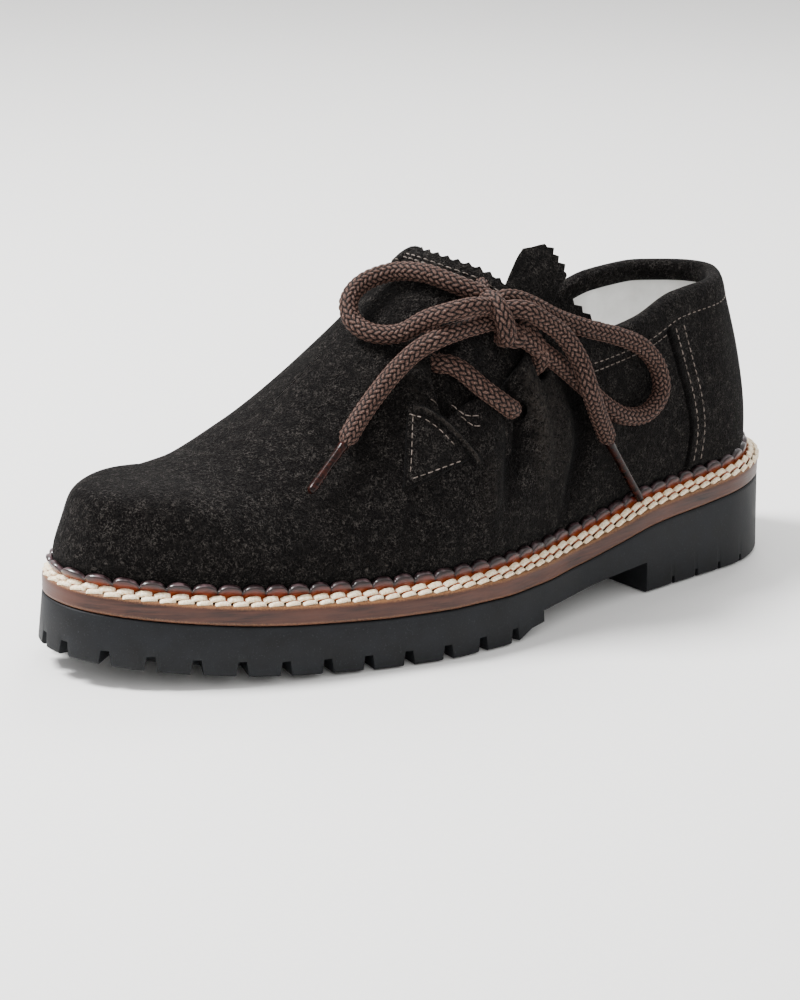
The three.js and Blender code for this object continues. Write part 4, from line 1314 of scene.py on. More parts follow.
CREASES = (  # each line as (place, rise in degrees)
    Crease(
        ((150.5, 40), (149.2, 35.7), (147.0, 29.7), (147.4, 23.8), (150.8, 17.8), (156, 11)), -3.4, 4.6
    ),
    Crease(((138, 38), (138.6, 33), (136.5, 27), (134, 20), (134, 11)), 3.2, 5.6),
    Crease(((127, 34), (124, 25), (122, 16), (125, 7)), 1.6, 6.0),
    Crease(
        ((119, 32), (116.5, 25.7), (112.3, 19.5), (111.3, 14.0), (115.4, 9.0), (121, 4)), -3.4, 4.6
    ),
    Crease(((104, 23), (100, 16), (99, 8)), 1.3, 7.5),
    Crease(((86, 20), (84, 13), (88, 6)), -0.8, 8.0),
    Crease(((160, 25), (160.5, 18), (165, 10)), 1.4, 6.0),
    Crease(((144, 30.5), (146.8, 26.4)), -1.6, 4.0),
    Crease(((178, 58), (183, 51), (187, 44)), 0.8, 4.5),
    Crease(((202, 80), (206, 60), (208, 40), (206, 24)), -0.5, 10.0),
    Crease(((192, 80), (196, 60), (198, 46)), 0.4, 8.0),
)


@dataclass
class Surface:
    """The upper's outer face as a dense mesh that other pieces are laid on."""

    last: Last
    columns: int = 500
    rows: int = 92
    points: Array = field(default_factory=lambda: np.zeros((0, 3)))
    normals: Array = field(default_factory=lambda: np.zeros((0, 3)))
    spots: Array = field(default_factory=lambda: np.zeros((0, 3)))
    # fold: the relief scaled to -1..1, for painted shade in troughs and a painted highlight on ridges
    fold: Array = field(default_factory=lambda: np.zeros(0))
    quads: list = field(default_factory=list)
    tree: BVHTree | None = None

    def grid(self, inset: float = 0.0) -> tuple[Array, Array]:
        """Even grid over the last.

        Args:
            inset: distance inwards.

        Returns:
            Points (rows, columns, 3), and side, place and rise in degrees of each.
        """
        last = self.last
        side, t, _ = last.lap(last.ledge_width(last.place(0.5)), self.columns)
        x = last.place(t)
        fine = 1 - (1 - np.linspace(0, 1, 260)) ** 2
        rise = last.rise_to(x[None, :], fine[:, None])
        p = last.skin(side[None, :], t[None, :], rise, inset)
        steps = np.linalg.norm(np.diff(p, axis=0), axis=2)
        run = np.concatenate([np.zeros((1, len(t))), np.cumsum(steps, axis=0)])
        even = np.empty((self.rows, len(t)))
        for k in range(len(t)):
            even[:, k] = np.interp(np.linspace(0, run[-1, k], self.rows), run[:, k], rise[:, k])
        points = last.skin(side[None, :], t[None, :], even, inset)
        spots = np.stack([side[None, :] + 0 * even, x[None, :] + 0 * even, np.degrees(even)], -1)
        return points, spots

    def prepare(self) -> None:
        """Make the face, with its creases, and the tree that finds the nearest place on it."""
        grid, spots = self.grid()
        points, spots = grid.reshape(-1, 3), spots.reshape(-1, 3)
        _, first, back = np.unique(np.round(points, 3), axis=0, return_index=True, return_inverse=True)
        back = back.reshape(-1)
        faces = []
        for f in grid_faces(self.rows, self.columns, wrap=True):
            g = tuple(dict.fromkeys(int(back[i]) for i in f))
            if len(g) > 2:
                faces.append(g)
        points, spots = points[first], spots[first]
        normals = self.face_normals(points, faces)
        lift = self.relief(points, spots)
        points = points + normals * lift[:, None]
        self.points, self.spots, self.quads = points, spots, faces
        # relief as fold values: painted shade in troughs, painted highlight on ridges
        self.fold = np.clip(lift / 2.6, -1, 1)
        self.normals = self.face_normals(points, faces)
        self.tree = BVHTree.FromPolygons(points.tolist(), faces)

    @staticmethod
    def face_normals(points: Array, faces: list) -> Array:
        """Vertex normals, weighted by area."""
        total = np.zeros_like(points)
        for size in (3, 4):
            ids = np.array([f for f in faces if len(f) == size])
            if len(ids):
                a, b, c = points[ids[:, 0]], points[ids[:, 1]], points[ids[:, 2]]
                n = np.cross(b - a, c - a) if size == 3 else np.cross(c - a, points[ids[:, 3]] - b)
                for i in range(size):
                    np.add.at(total, ids[:, i], n)
        return unit(total)

    def relief(self, points: Array, spots: Array) -> Array:
        """How far each place stands out by creases and slight unevenness."""
        lift = np.zeros(len(points))
        lateral = spots[:, 0] > 0
        for crease in CREASES:
            line = through(self.last.spots(crease.line), 2.0)
            far, share = line_distance(points, line)
            taper = np.sin(np.pi * np.clip(share, 0.03, 0.97)) ** 0.55
            lift += np.where(lateral, crease.depth * taper * np.exp(-((far / crease.width) ** 2)), 0)
        x, y, z = points.T
        broad = 0.16 * np.sin(x / 11.3 + y / 17) * np.sin(z / 9.1 + x / 23)
        lift += broad + 0.1 * np.sin(x / 5.3 + z / 7.7) * np.sin(y / 6.1)
        return lift * smooth(0.5, 9.0, z - self.last.ledge_top(x))

    def lay(self, points: Array, lift: Array | float = 0.0) -> tuple[Array, Array]:
        """Put points on the face, lifted off it.

        Args:
            points: (n, 3) places near it.
            lift: height over it.

        Returns:
            The places, and the normals there.
        """
        places, normals = [], []
        for p in np.asarray(points, float):
            spot, _, index, _ = self.tree.find_nearest(Vector(p))
            corners = list(self.quads[index])
            away = np.linalg.norm(self.points[corners] - np.array(spot), axis=1)
            weight = 1 / (away + 1e-3)
            normals.append(weight @ self.normals[corners])
            places.append(np.array(spot))
        out, n = np.array(places), unit(np.array(normals))
        return out + n * np.asarray(lift, float).reshape(-1, 1), n


@dataclass
class Upper:
    """Shell of vamp and quarters with its lining, collar band, counter, patch and seams."""

    last: Last
    face: Surface
    suede: bpy.types.Material
    lining: bpy.types.Material
    thread: bpy.types.Material
    band_width: float = 9.0
    seam_stitch: Stitch = Stitch(2.9, 2.35, 0.4, 0.34)
    patch_stitch: Stitch = Stitch(2.8, 2.3, 0.36, 0.32)
    edge_stitch: Stitch = Stitch(3.0, 2.4, 0.4, 0.34)
    tooth_pitch: float = 3.8
    counter_lift: float = 1.1
    patch_lift: float = 1.5
    # eyelets as (place, rise), throat and patch as (place, rise) of both their edges
    eyelets: tuple = ((145.5, 28.3), (131.1, 32.5), (168.6, 61.0), (147.0, 61.5))
    eyelet_diameter: float = 7.2
    throat: tuple = (
        (177.0, 37.6, 177.6, 38.6), (168.9, 38.0, 176.7, 44.3), (159.9, 36.5, 175.8, 51.1),
        (150.0, 34.2, 171.0, 54.5), (143.7, 36.4, 162.0, 56.2), (134.1, 38.1, 150.0, 56.0),
        (125.4, 40.0, 138.3, 54.0), (115.5, 42.5, 126.0, 54.5),
    )
    patch: tuple = (
        (186.0, 49.4, 184.8, 49.2), (190.2, 43.8, 180.0, 43.0), (194.1, 36.5, 174.9, 35.5),
        (198.0, 28.1, 169.8, 26.4),
    )
    fold_line: tuple = (
        (187.6, 48.6), (184.0, 45.6), (179.0, 40.4), (174.2, 34.0), (169.6, 27.6), (166.6, 24.2),
    )
    fold_profile: tuple = (  # distance down, lift, and tone: -1 for painted shadow beside the fold, 1 for a painted highlight on its crest
        (-2.5, -0.3, -1), (-2.3, 0.25, -1), (-1.5, 0.5, -1), (-1.1, 1.9, -0.3), (-0.5, 2.7, 1),
        (0.1, 3.0, 1), (0.6, 2.6, 0.6), (1.1, 1.8, -1), (1.5, 0.5, -1), (2.3, 0.25, -1),
        (2.5, -0.3, -1),
    )
    patch_seams: tuple = (  # (place, rise) along each seam, and its height over the face
        (((186.6, 45.6), (189.4, 41.0), (192.0, 36.0), (194.6, 31.0)), 1.5),
        (((194.2, 30.4), (188.0, 29.6), (181.0, 28.6), (174.5, 27.6)), 1.5),
        (((183.4, 42.6), (179.4, 37.6), (175.6, 32.0)), 1.5),
        (((188.0, 46.6), (184.6, 43.6)), 2.1),
        (((172.4, 40.6), (168.4, 36.0), (163.6, 33.8)), 0.3),
        (((170.2, 36.6), (166.6, 32.8), (162.6, 31.2)), 0.3),
        (((178.6, 45.8), (176.2, 42.4)), 0.3),
    )
    rise_mm: float = 1.05  # millimetres that a degree of rise is worth near the throat

    def throat_lines(self, count: int = 60) -> tuple[Array, Array]:
        """The throat's lower and upper edge, as (place, rise)."""
        columns = [curve(np.linspace(0, 1, count)) for curve in columns_of(self.throat)]
        return np.column_stack(columns[:2]), np.column_stack(columns[2:])

    def keep(self, points: Array, spots: Array) -> Array:
        """Signed distance to the cut edges, above zero where leather stays."""
        x, topline = points[:, 0], self.last.topline
        top = (topline(x) - points[:, 2]) / np.hypot(1, topline(x + 0.5) - topline(x - 0.5))
        low, high = self.throat_lines()
        scale = np.array([1.0, self.rise_mm])
        ring = np.vstack([low, high[::-1]]) * scale
        flat = spots[:, 1:3] * scale
        near = (spots[:, 0] > 0) & (spots[:, 1] > 95) & (spots[:, 1] < 190)
        away = np.full(len(points), 50.0)
        gap, _ = line_distance(flat[near], np.vstack([ring, ring[:1]]))
        away[near] = np.where(inside(flat[near], ring), -gap, gap)
        kept = np.minimum(top, away)
        for eyelet in self.eyelets:
            centre = self.face.lay(self.last.spots([eyelet]))[0][0]
            kept = np.minimum(kept, np.linalg.norm(points - centre, axis=1) - self.eyelet_diameter / 2)
        return kept

    @staticmethod
    def clip(points: Array, faces: list, kept: Array) -> tuple[Array, list, list]:
        """Cut a mesh where a number given at its points falls below zero.

        Args:
            points: (n, k) numbers at each point, the place first.
            faces: its faces.
            kept: the number.

        Returns:
            New points, faces, and cut edges as pairs in face order.
        """
        rows = [points]
        made: dict = {}
        new_faces, edges = [], []

        def cross(i: int, j: int) -> int:
            """Number of the point where an edge is cut."""
            i, j = min(i, j), max(i, j)
            if (i, j) not in made:
                s = kept[i] / (kept[i] - kept[j])
                rows.append((points[i] + (points[j] - points[i]) * s)[None])
                made[i, j] = len(points) + len(made)
            return made[i, j]

        for face in faces:
            signs = [kept[i] >= 0 for i in face]
            ring, leaving, coming = [], [], []
            for a, b in zip(range(len(face)), [*range(1, len(face)), 0]):
                if signs[a]:
                    ring.append(face[a])
                if signs[a] != signs[b]:
                    ring.append(cross(face[a], face[b]))
                    (leaving if signs[a] else coming).append(ring[-1])
            if len(ring) > 2:
                new_faces.append(tuple(ring))
                if len(leaving) == len(coming) == 1:
                    edges.append((leaving[0], coming[0]))
        stacked = np.vstack(rows)
        used = np.zeros(len(stacked), bool)
        for f in new_faces:
            used[list(f)] = True
        index = (np.cumsum(used) - 1).tolist()
        new_faces, edges = ([tuple(index[i] for i in f) for f in group] for group in (new_faces, edges))
        return stacked[used], new_faces, edges

    def shell(self) -> bpy.types.Object:
        """Outer leather with its cut edges turned in."""
        face = self.face
        kept = self.keep(face.points, face.spots)
        data = np.hstack([face.points, face.normals, face.fold[:, None]])
        rows, faces, edges = self.clip(data, face.quads, kept)
        points, normals = rows[:, :3], unit(rows[:, 3:6])
        out = np.zeros_like(points)
        for a, b in edges:
            g = np.cross(points[b] - points[a], normals[a])
            out[a] += g
            out[b] += g
        ids = sorted({i for e in edges for i in e})
        order = {i: k for k, i in enumerate(ids)}
        p, n, g = points[ids], normals[ids], unit(out[ids])
        # the rim: how far out and how deep
        profile = [(0.3, 0.25), (0.42, 0.8), (0.42, 1.4), (0.25, 1.95), (-0.1, 2.2), (-2.6, 2.3)]
        rim = np.concatenate([p + g * a - n * d for a, d in profile])
        for a, b in edges:
            before = (a, b)
            for k in range(len(profile)):
                start = len(points) + k * len(ids)
                after = (start + order[a], start + order[b])
                faces.append((before[1], before[0], after[0], after[1]))
                before = after
        # fold values give painted shade in troughs and a painted highlight on ridges; the turned-in rim gets
        # painted shade
        tone = np.concatenate([rows[:, 6], np.tile(rows[ids, 6], len(profile)) - 0.5])
        sheet = Sheet()
        sheet.add(np.vstack([points, rim]), faces, 0, tone)
        obj = sheet.build("upper_suede", [self.suede], "suede", "fold")
        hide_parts("upper")
        return obj

    def lining_shell(self) -> bpy.types.Object:
        """Lining a wall's thickness inside the shell."""
        inner = Surface(self.last, 300, 56)
        grid, spots = inner.grid(self.last.wall + 0.15)
        points, spots = grid.reshape(-1, 3), spots.reshape(-1, 3)
        faces = grid_faces(inner.rows, inner.columns, wrap=True)
        normals = Surface.face_normals(points, faces)
        points = points + normals * self.face.relief(points, spots)[:, None]
        kept = self.keep(points, spots) - 1.0  # cut back 1 mm from each edge of the suede
        rows, kept_faces, _ = self.clip(points, faces, kept)
        sheet = Sheet()
        sheet.add(rows, [f[::-1] for f in kept_faces])
        return sheet.build("upper_lining", [self.lining], "lining")

    def top_edge(self) -> Array:
        """The collar's edge from the flap's corner round the heel to the medial front."""
        last = self.last
        side, t, _ = last.lap(last.ledge_width(last.place(0.5)), 900)
        x = last.place(t)
        fine = 1 - (1 - np.linspace(0, 1, 400)) ** 2
        rise = last.rise_to(x[None, :], fine[:, None])
        p = last.skin(side[None], t[None], rise, 0.0)
        below = last.topline(p[..., 0]) - p[..., 2]
        found = []
        for k in range(len(t)):
            over = np.nonzero(below[:, k] < 0)[0]
            if len(over) and over[0] > 0:
                i = over[0]
                s = below[i - 1, k] / (below[i - 1, k] - below[i, k])
                found.append([*(p[i - 1, k] + (p[i, k] - p[i - 1, k]) * s), side[k], x[k]])
        rows = np.array(found)
        lateral = rows[rows[:, 3] > 0]
        medial = rows[rows[:, 3] < 0]
        lateral = lateral[np.argsort(-lateral[:, 4])]
        medial = medial[np.argsort(medial[:, 4])]
        return np.vstack([lateral, medial])

    def strip(
        self, sheet: Sheet, path: Array, profile: Sequence[tuple[float, float, float]], ends: float
    ) -> None:
        """Closed strip of leather laid along a path.

        Args:
            sheet: gathers the mesh.
            path: (n, 3) samples.
            profile: closed ring of (distance down the shoe, lift, tone), with a tone from -1 for
            painted shade in a crevice to 1 for a painted highlight.
            ends: length over which its thickness fades at both ends, mm.
        """
        down = self.down(path)
        spot, normals = self.face.lay(path)
        across = unit(np.cross(normals, tangents(path))) * down
        run = distance_along(path)
        fade = smooth(0, ends, run) * smooth(0, ends, run[-1] - run)
        rings = []
        for distance, lift, _ in profile:
            laid, n = self.face.lay(spot + across * distance)
            raised = lift * (0.25 + 0.75 * fade) if lift > 0 else lift + 0 * fade
            rings.append(laid + n * raised[:, None])
        stack = np.stack(rings, 1)
        m = len(profile)
        faces = grid_faces(len(path), m, wrap=True)
        if down > 0:
            faces = [f[::-1] for f in faces]
        total = len(path) * m
        caps = [tuple(range(m)), tuple(range(total - 1, total - m - 1, -1))]
        tones = np.tile([tone for _, _, tone in profile], len(path))
        sheet.add(stack.reshape(-1, 3), faces + (caps if down < 0 else [c[::-1] for c in caps]), 0, tones)

    def band(self) -> list[bpy.types.Object]:
        """Padded collar band, rolled over the edge, with its seam."""
        rows = self.top_edge()
        lateral = rows[rows[:, 3] > 0]
        medial = rows[rows[:, 3] < 0]
        path = np.vstack([lateral[lateral[:, 0] < 127.0], medial[medial[:, 0] < 158.0]])[:, :3]
        path = evenly(path, 1.3)
        w = self.band_width
        profile = [  # from its hem inside, over the edge, to its hem outside and back under; the tone gives painted shade along both hems
            (5.6, -3.2, -0.8), (5.8, -3.8, 0), (4.4, -4.4, 0), (2.6, -4.7, 0), (0.8, -4.6, 0),
            (-0.7, -4.0, 0), (-1.6, -2.7, 0), (-1.7, -1.2, 0), (-1.1, 0.1, 0), (0.2, 0.85, 0),
            (2.2, 1.25, 0), (w * 0.5, 1.35, 0), (w * 0.75, 1.2, 0), (w * 0.9, 1.0, 0),
            (w * 0.975, 0.7, -0.6), (w, 0.2, -1), (w * 0.97, -0.3, -1), (w * 0.6, -0.5, 0),
            (2.5, -0.6, 0),
        ]
        sheet = Sheet()
        self.strip(sheet, path, profile, 2.0)
        made = [sheet.build("collar_band", [self.suede], "suede", "fold")]
        seam = Sheet()
        for offset, lift in ((w * 0.85, 1.0), (w + 1.5, 0.05)):
            line, normals = self.offset(path, offset)
            stitch_row(seam, line + normals * lift, normals, self.seam_stitch)
        made.append(seam.build("stitches_collar", [self.thread], "suede"))
        return made

    def down(self, path: Array) -> float:
        """Sign that makes the distance across a path run down the shoe."""
        few = slice(None, None, max(1, len(path) // 8))
        _, normals = self.face.lay(path[few])
        across = np.cross(normals, tangents(path)[few])
        return -1.0 if across[:, 2].mean() > 0 else 1.0

    def offset(self, path: Array, distance: float) -> tuple[Array, Array]:
        """Path moved down the shoe by a distance, with its normals."""
        spot, normals = self.face.lay(path)
        across = unit(np.cross(normals, tangents(path))) * self.down(path)
        return self.face.lay(spot + across * distance)

    def level(self, side: Array, t: Array, share: float) -> Array:
        """Points of the skin at stations, at a share of the collar's height at the heel."""
        last = self.last
        x = last.place(t)
        base = last.ledge_top(last.inset(side, t, last.ledge_width(x))[:, 0])
        z = last.heel_ledge + share * last.heel_collar
        high = (z - base) / (last.crest_height(last.focus(x)) - base)
        return last.skin(side, t, last.rise_to(x, high))

    def counter(self) -> list[bpy.types.Object]:
        """Heel counter laid over the quarters, and its double seam."""
        last = self.last
        shares = np.array([0.02, 0.25, 0.42, 0.59, 0.76, 0.9])  # of the collar's height
        front = Curve(shares, np.array([0.19, 0.183, 0.19, 0.203, 0.217, 0.228]) * last.length)
        rows, half = 44, 46
        rim = np.array([1.0, 0.997, 0.99])
        share = np.concatenate([rim, np.linspace(0.975, -0.975, 2 * half), -rim[::-1]])
        edge = np.array([-0.3, 0.5, 1.05])
        lift = np.concatenate([edge, np.full(2 * half, self.counter_lift), edge[::-1]])
        side = np.where(share >= 0, 1.0, -1.0)
        points = np.array([
            self.level(side, np.abs(share) * last.station(front(v)), v) for v in np.linspace(0.05, 0.9, rows)
        ])
        top = (last.topline(points[..., 0]) - points[..., 2]) - self.band_width * 0.8
        flat, _ = self.face.lay(points.reshape(-1, 3), np.tile(lift, rows))
        faces = [f[::-1] for f in grid_faces(rows, len(share))]
        # painted shadow along the counter's edges
        tone = np.tile(-smooth(0.97, 0.984, np.abs(share)), rows)
        clipped, faces, _ = self.clip(np.hstack([flat, tone[:, None]]), faces, top.reshape(-1))
        sheet = Sheet()
        sheet.add(clipped[:, :3], faces, 0, clipped[:, 3])
        made = [sheet.build("heel_counter", [self.suede], "suede", "fold")]
        stitches = Sheet()
        for side in Side:
            for behind in (0.965, 0.925):  # shares of the way from the heel to the front edge
                line = []
                for v in np.linspace(0.07, 0.88, 60):
                    t = np.array([last.station(front(v)) * behind])
                    point = self.level(np.array([side.value]), t, v)[0]
                    z = last.heel_ledge + v * last.heel_collar
                    if last.topline(point[0]) - z > self.band_width + 1:
                        line.append(point)
                path, normals = self.face.lay(evenly(np.array(line), 0.8), self.counter_lift)
                stitch_row(stitches, path, normals, self.seam_stitch)
        made.append(stitches.build("stitches_counter", [self.thread], "suede"))
        return made

    def triangle(self) -> list[bpy.types.Object]:
        """Stitched triangular patch at the foot of the throat, with its raised fold."""
        curves = columns_of(self.patch)
        n = 40
        steps = np.concatenate([[0.0, 0.012], np.linspace(0.03, 0.97, n), [0.988, 1.0]])
        eased = np.concatenate([[-0.25, 0.45], np.full(n, 1.0), [0.45, -0.25]])
        points = []
        for a in steps:
            x0, r0, x1, r1 = (float(c(a)) for c in curves)
            points.append(self.last.spots([(x0 + (x1 - x0) * b, r0 + (r1 - r0) * b) for b in steps]))
        lift = np.minimum(eased[:, None], eased[None]).reshape(-1) * self.patch_lift
        laid, _ = self.face.lay(np.array(points).reshape(-1, 3), lift)
        m = len(steps)
        # painted shadow along the patch's edges
        rim = np.minimum(steps, 1 - steps)
        tone = np.where(np.minimum(rim[:, None], rim[None]).reshape(-1) < 0.05, -1.0, 0.1)
        faces = grid_faces(m, m)
        if self.turned(laid, m):
            faces = [f[::-1] for f in faces]
        sheet = Sheet()
        sheet.add(laid, faces, 0, tone)
        fold = through(self.last.spots(self.fold_line), 0.8)
        self.strip(sheet, fold, self.fold_profile, 5.0)
        made = [sheet.build("throat_patch", [self.suede], "suede", "fold")]
        stitches = Sheet()
        for rows, over in self.patch_seams:
            path, normals = self.face.lay(through(self.last.spots(rows), 0.8), over)
            stitch_row(stitches, path, normals, self.patch_stitch)
        made.append(stitches.build("stitches_patch", [self.thread], "suede"))
        return made

    def turned(self, laid: Array, width: int) -> bool:
        """Whether a grid's faces look inwards and need turning."""
        a, b, c = laid[width * 5 + 5], laid[width * 6 + 5], laid[width * 5 + 6]
        _, n = self.face.lay(a[None])
        return float(np.dot(np.cross(b - a, c - a), n[0])) < 0

    def pinked_edge(self) -> list[bpy.types.Object]:
        """The vamp's top edge, cut to teeth, with two seams under it."""
        rows = self.top_edge()
        lateral, medial = rows[rows[:, 3] > 0], rows[rows[:, 3] < 0]
        lateral, medial = lateral[lateral[:, 0] > 138.0], medial[medial[:, 0] > 152.0]
        step = 0.35
        path = evenly(np.vstack([lateral[::-1], medial[::-1]])[:, :3], step)
        spot, normals = self.face.lay(path)
        sign = self.down(path)
        across = unit(np.cross(normals, tangents(path))) * sign
        run = np.arange(len(path)) * step
        tooth = 0.9 - 1.7 * np.abs(((run / self.tooth_pitch) % 1.0) - 0.5) * 2
        section = [(7.0, -0.3), (5.5, 0.25), (3.5, 0.5), (1.5, 0.55)]  # distance down, lift
        rings = [self.face.lay(spot + across * d, lift)[0] for d, lift in section]
        edge, n = self.face.lay(spot - across * tooth[:, None])
        over, n2 = self.face.lay(spot + across * 1.5)
        rings += [edge + n * 0.45, edge - n * 0.9, over - n2 * 0.9]
        stack = np.stack(rings, 1)
        m = stack.shape[1]
        faces = grid_faces(len(path), m, wrap=True)
        sheet = Sheet()
        sheet.add(stack.reshape(-1, 3), faces if sign < 0 else [f[::-1] for f in faces])
        made = [sheet.build("vamp_pinked_edge", [self.suede], "suede")]
        sharpen(made[0], 50)
        stitches = Sheet()
        for d in (3.9, 5.6):
            line, normals = self.offset(path[::3], d)
            stitch_row(stitches, line + normals * 0.45, normals, self.edge_stitch)
        made.append(stitches.build("stitches_vamp_edge", [self.thread], "suede"))
        return made


@dataclass
class Tongue:
    """Suede sheet under the throat with a standing pleat and a pinked end."""

    last: Last
    suede: bpy.types.Material
    clearance: float = 0.85
    thickness: float = 1.8
    pleat: float = 4.5
    tooth: float = 1.7
    teeth: float = 12.0
    steps: tuple[int, int] = (110, 120)  # along and across
    rows: tuple = (  # (place, rise) of both edges, from under the vamp to the free end
        (188.1, 37.0, 189.0, 46.0), (177.9, 28.0, 180.0, 57.0), (155.1, 22.0, 162.0, 61.0),
        (138.0, 20.0, 147.0, 60.0), (122.1, 19.0, 136.5, 57.0), (105.9, 20.0, 129.0, 60.0),
        (90.0, 27.0, 123.0, 63.5),
    )
    end: tuple = (  # rise and place of the free edge, with a step where the fold stands up
        (27.0, 88.0), (29.9, 91.0), (35.6, 99.9), (41.6, 107.1), (46.4, 113.6), (47.8, 111.2), (49.3, 110.3),
        (53.9, 113.1), (58.6, 115.2), (61.3, 119.4), (63.5, 126.0),
    )

    def build(self) -> bpy.types.Object:
        """Build both faces and the rim."""
        along, across = self.steps
        a = np.linspace(0, 1, along + 1)[:, None]
        s = np.linspace(0, 1, across + 1)[None, :]
        x0, r0, x1, r1 = (curve(a) for curve in columns_of(self.rows))
        near_end = smooth(0.72, 0.97, a)
        ridge = 0.4 * np.clip(1 - ((s - 0.79) / 0.24) ** 2, 0, None) ** 0.5 - 0.25 * smooth(0.6, 0.54, s)
        pinked = smooth(0.93, 1.0, a) * (np.abs(((s * self.teeth) % 1.0) - 0.5) * 2) * self.tooth
        rise = r0 + (r1 - r0) * s
        x = x0 + (x1 - x0) * s
        cut = Curve(*zip(*self.end))(rise[-1]) - x[-1]
        x = x + smooth(0.55, 1.0, a) * cut[None, :] - pinked + 0.5 * self.tooth * smooth(0.93, 1.0, a)
        wave = 0.5 * np.sin(7 * s + 5 * a) * np.sin(9 * a + 2 * s) * smooth(0.1, 0.5, a)
        top = self.last.wall + self.clearance - self.pleat * near_end * ridge - 0.4 * wave * near_end
        spot = (Side.LATERAL.value, self.last.station(x), np.radians(rise))
        outer, under = self.last.skin(*spot, top), self.last.skin(*spot, top + self.thickness)
        rows, columns = along + 1, across + 1
        faces = grid_faces(rows, columns)
        size = rows * columns
        ids = np.arange(size).reshape(rows, columns)
        loop = [*ids[0], *ids[1:, -1], *ids[-1, -2::-1], *ids[-2:0:-1, 0]]
        rim = [(i, j, j + size, i + size) for i, j in zip(loop, loop[1:] + loop[:1])]
        faces += [tuple(i + size for i in f[::-1]) for f in faces]
        sheet = Sheet()
        sheet.add(np.vstack([outer.reshape(-1, 3), under.reshape(-1, 3)]), faces + rim)
        obj = sheet.build("tongue_suede", [self.suede], "suede")
        sharpen(obj, 55)
        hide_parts("tongue")
        return obj


# ---- the lace ----


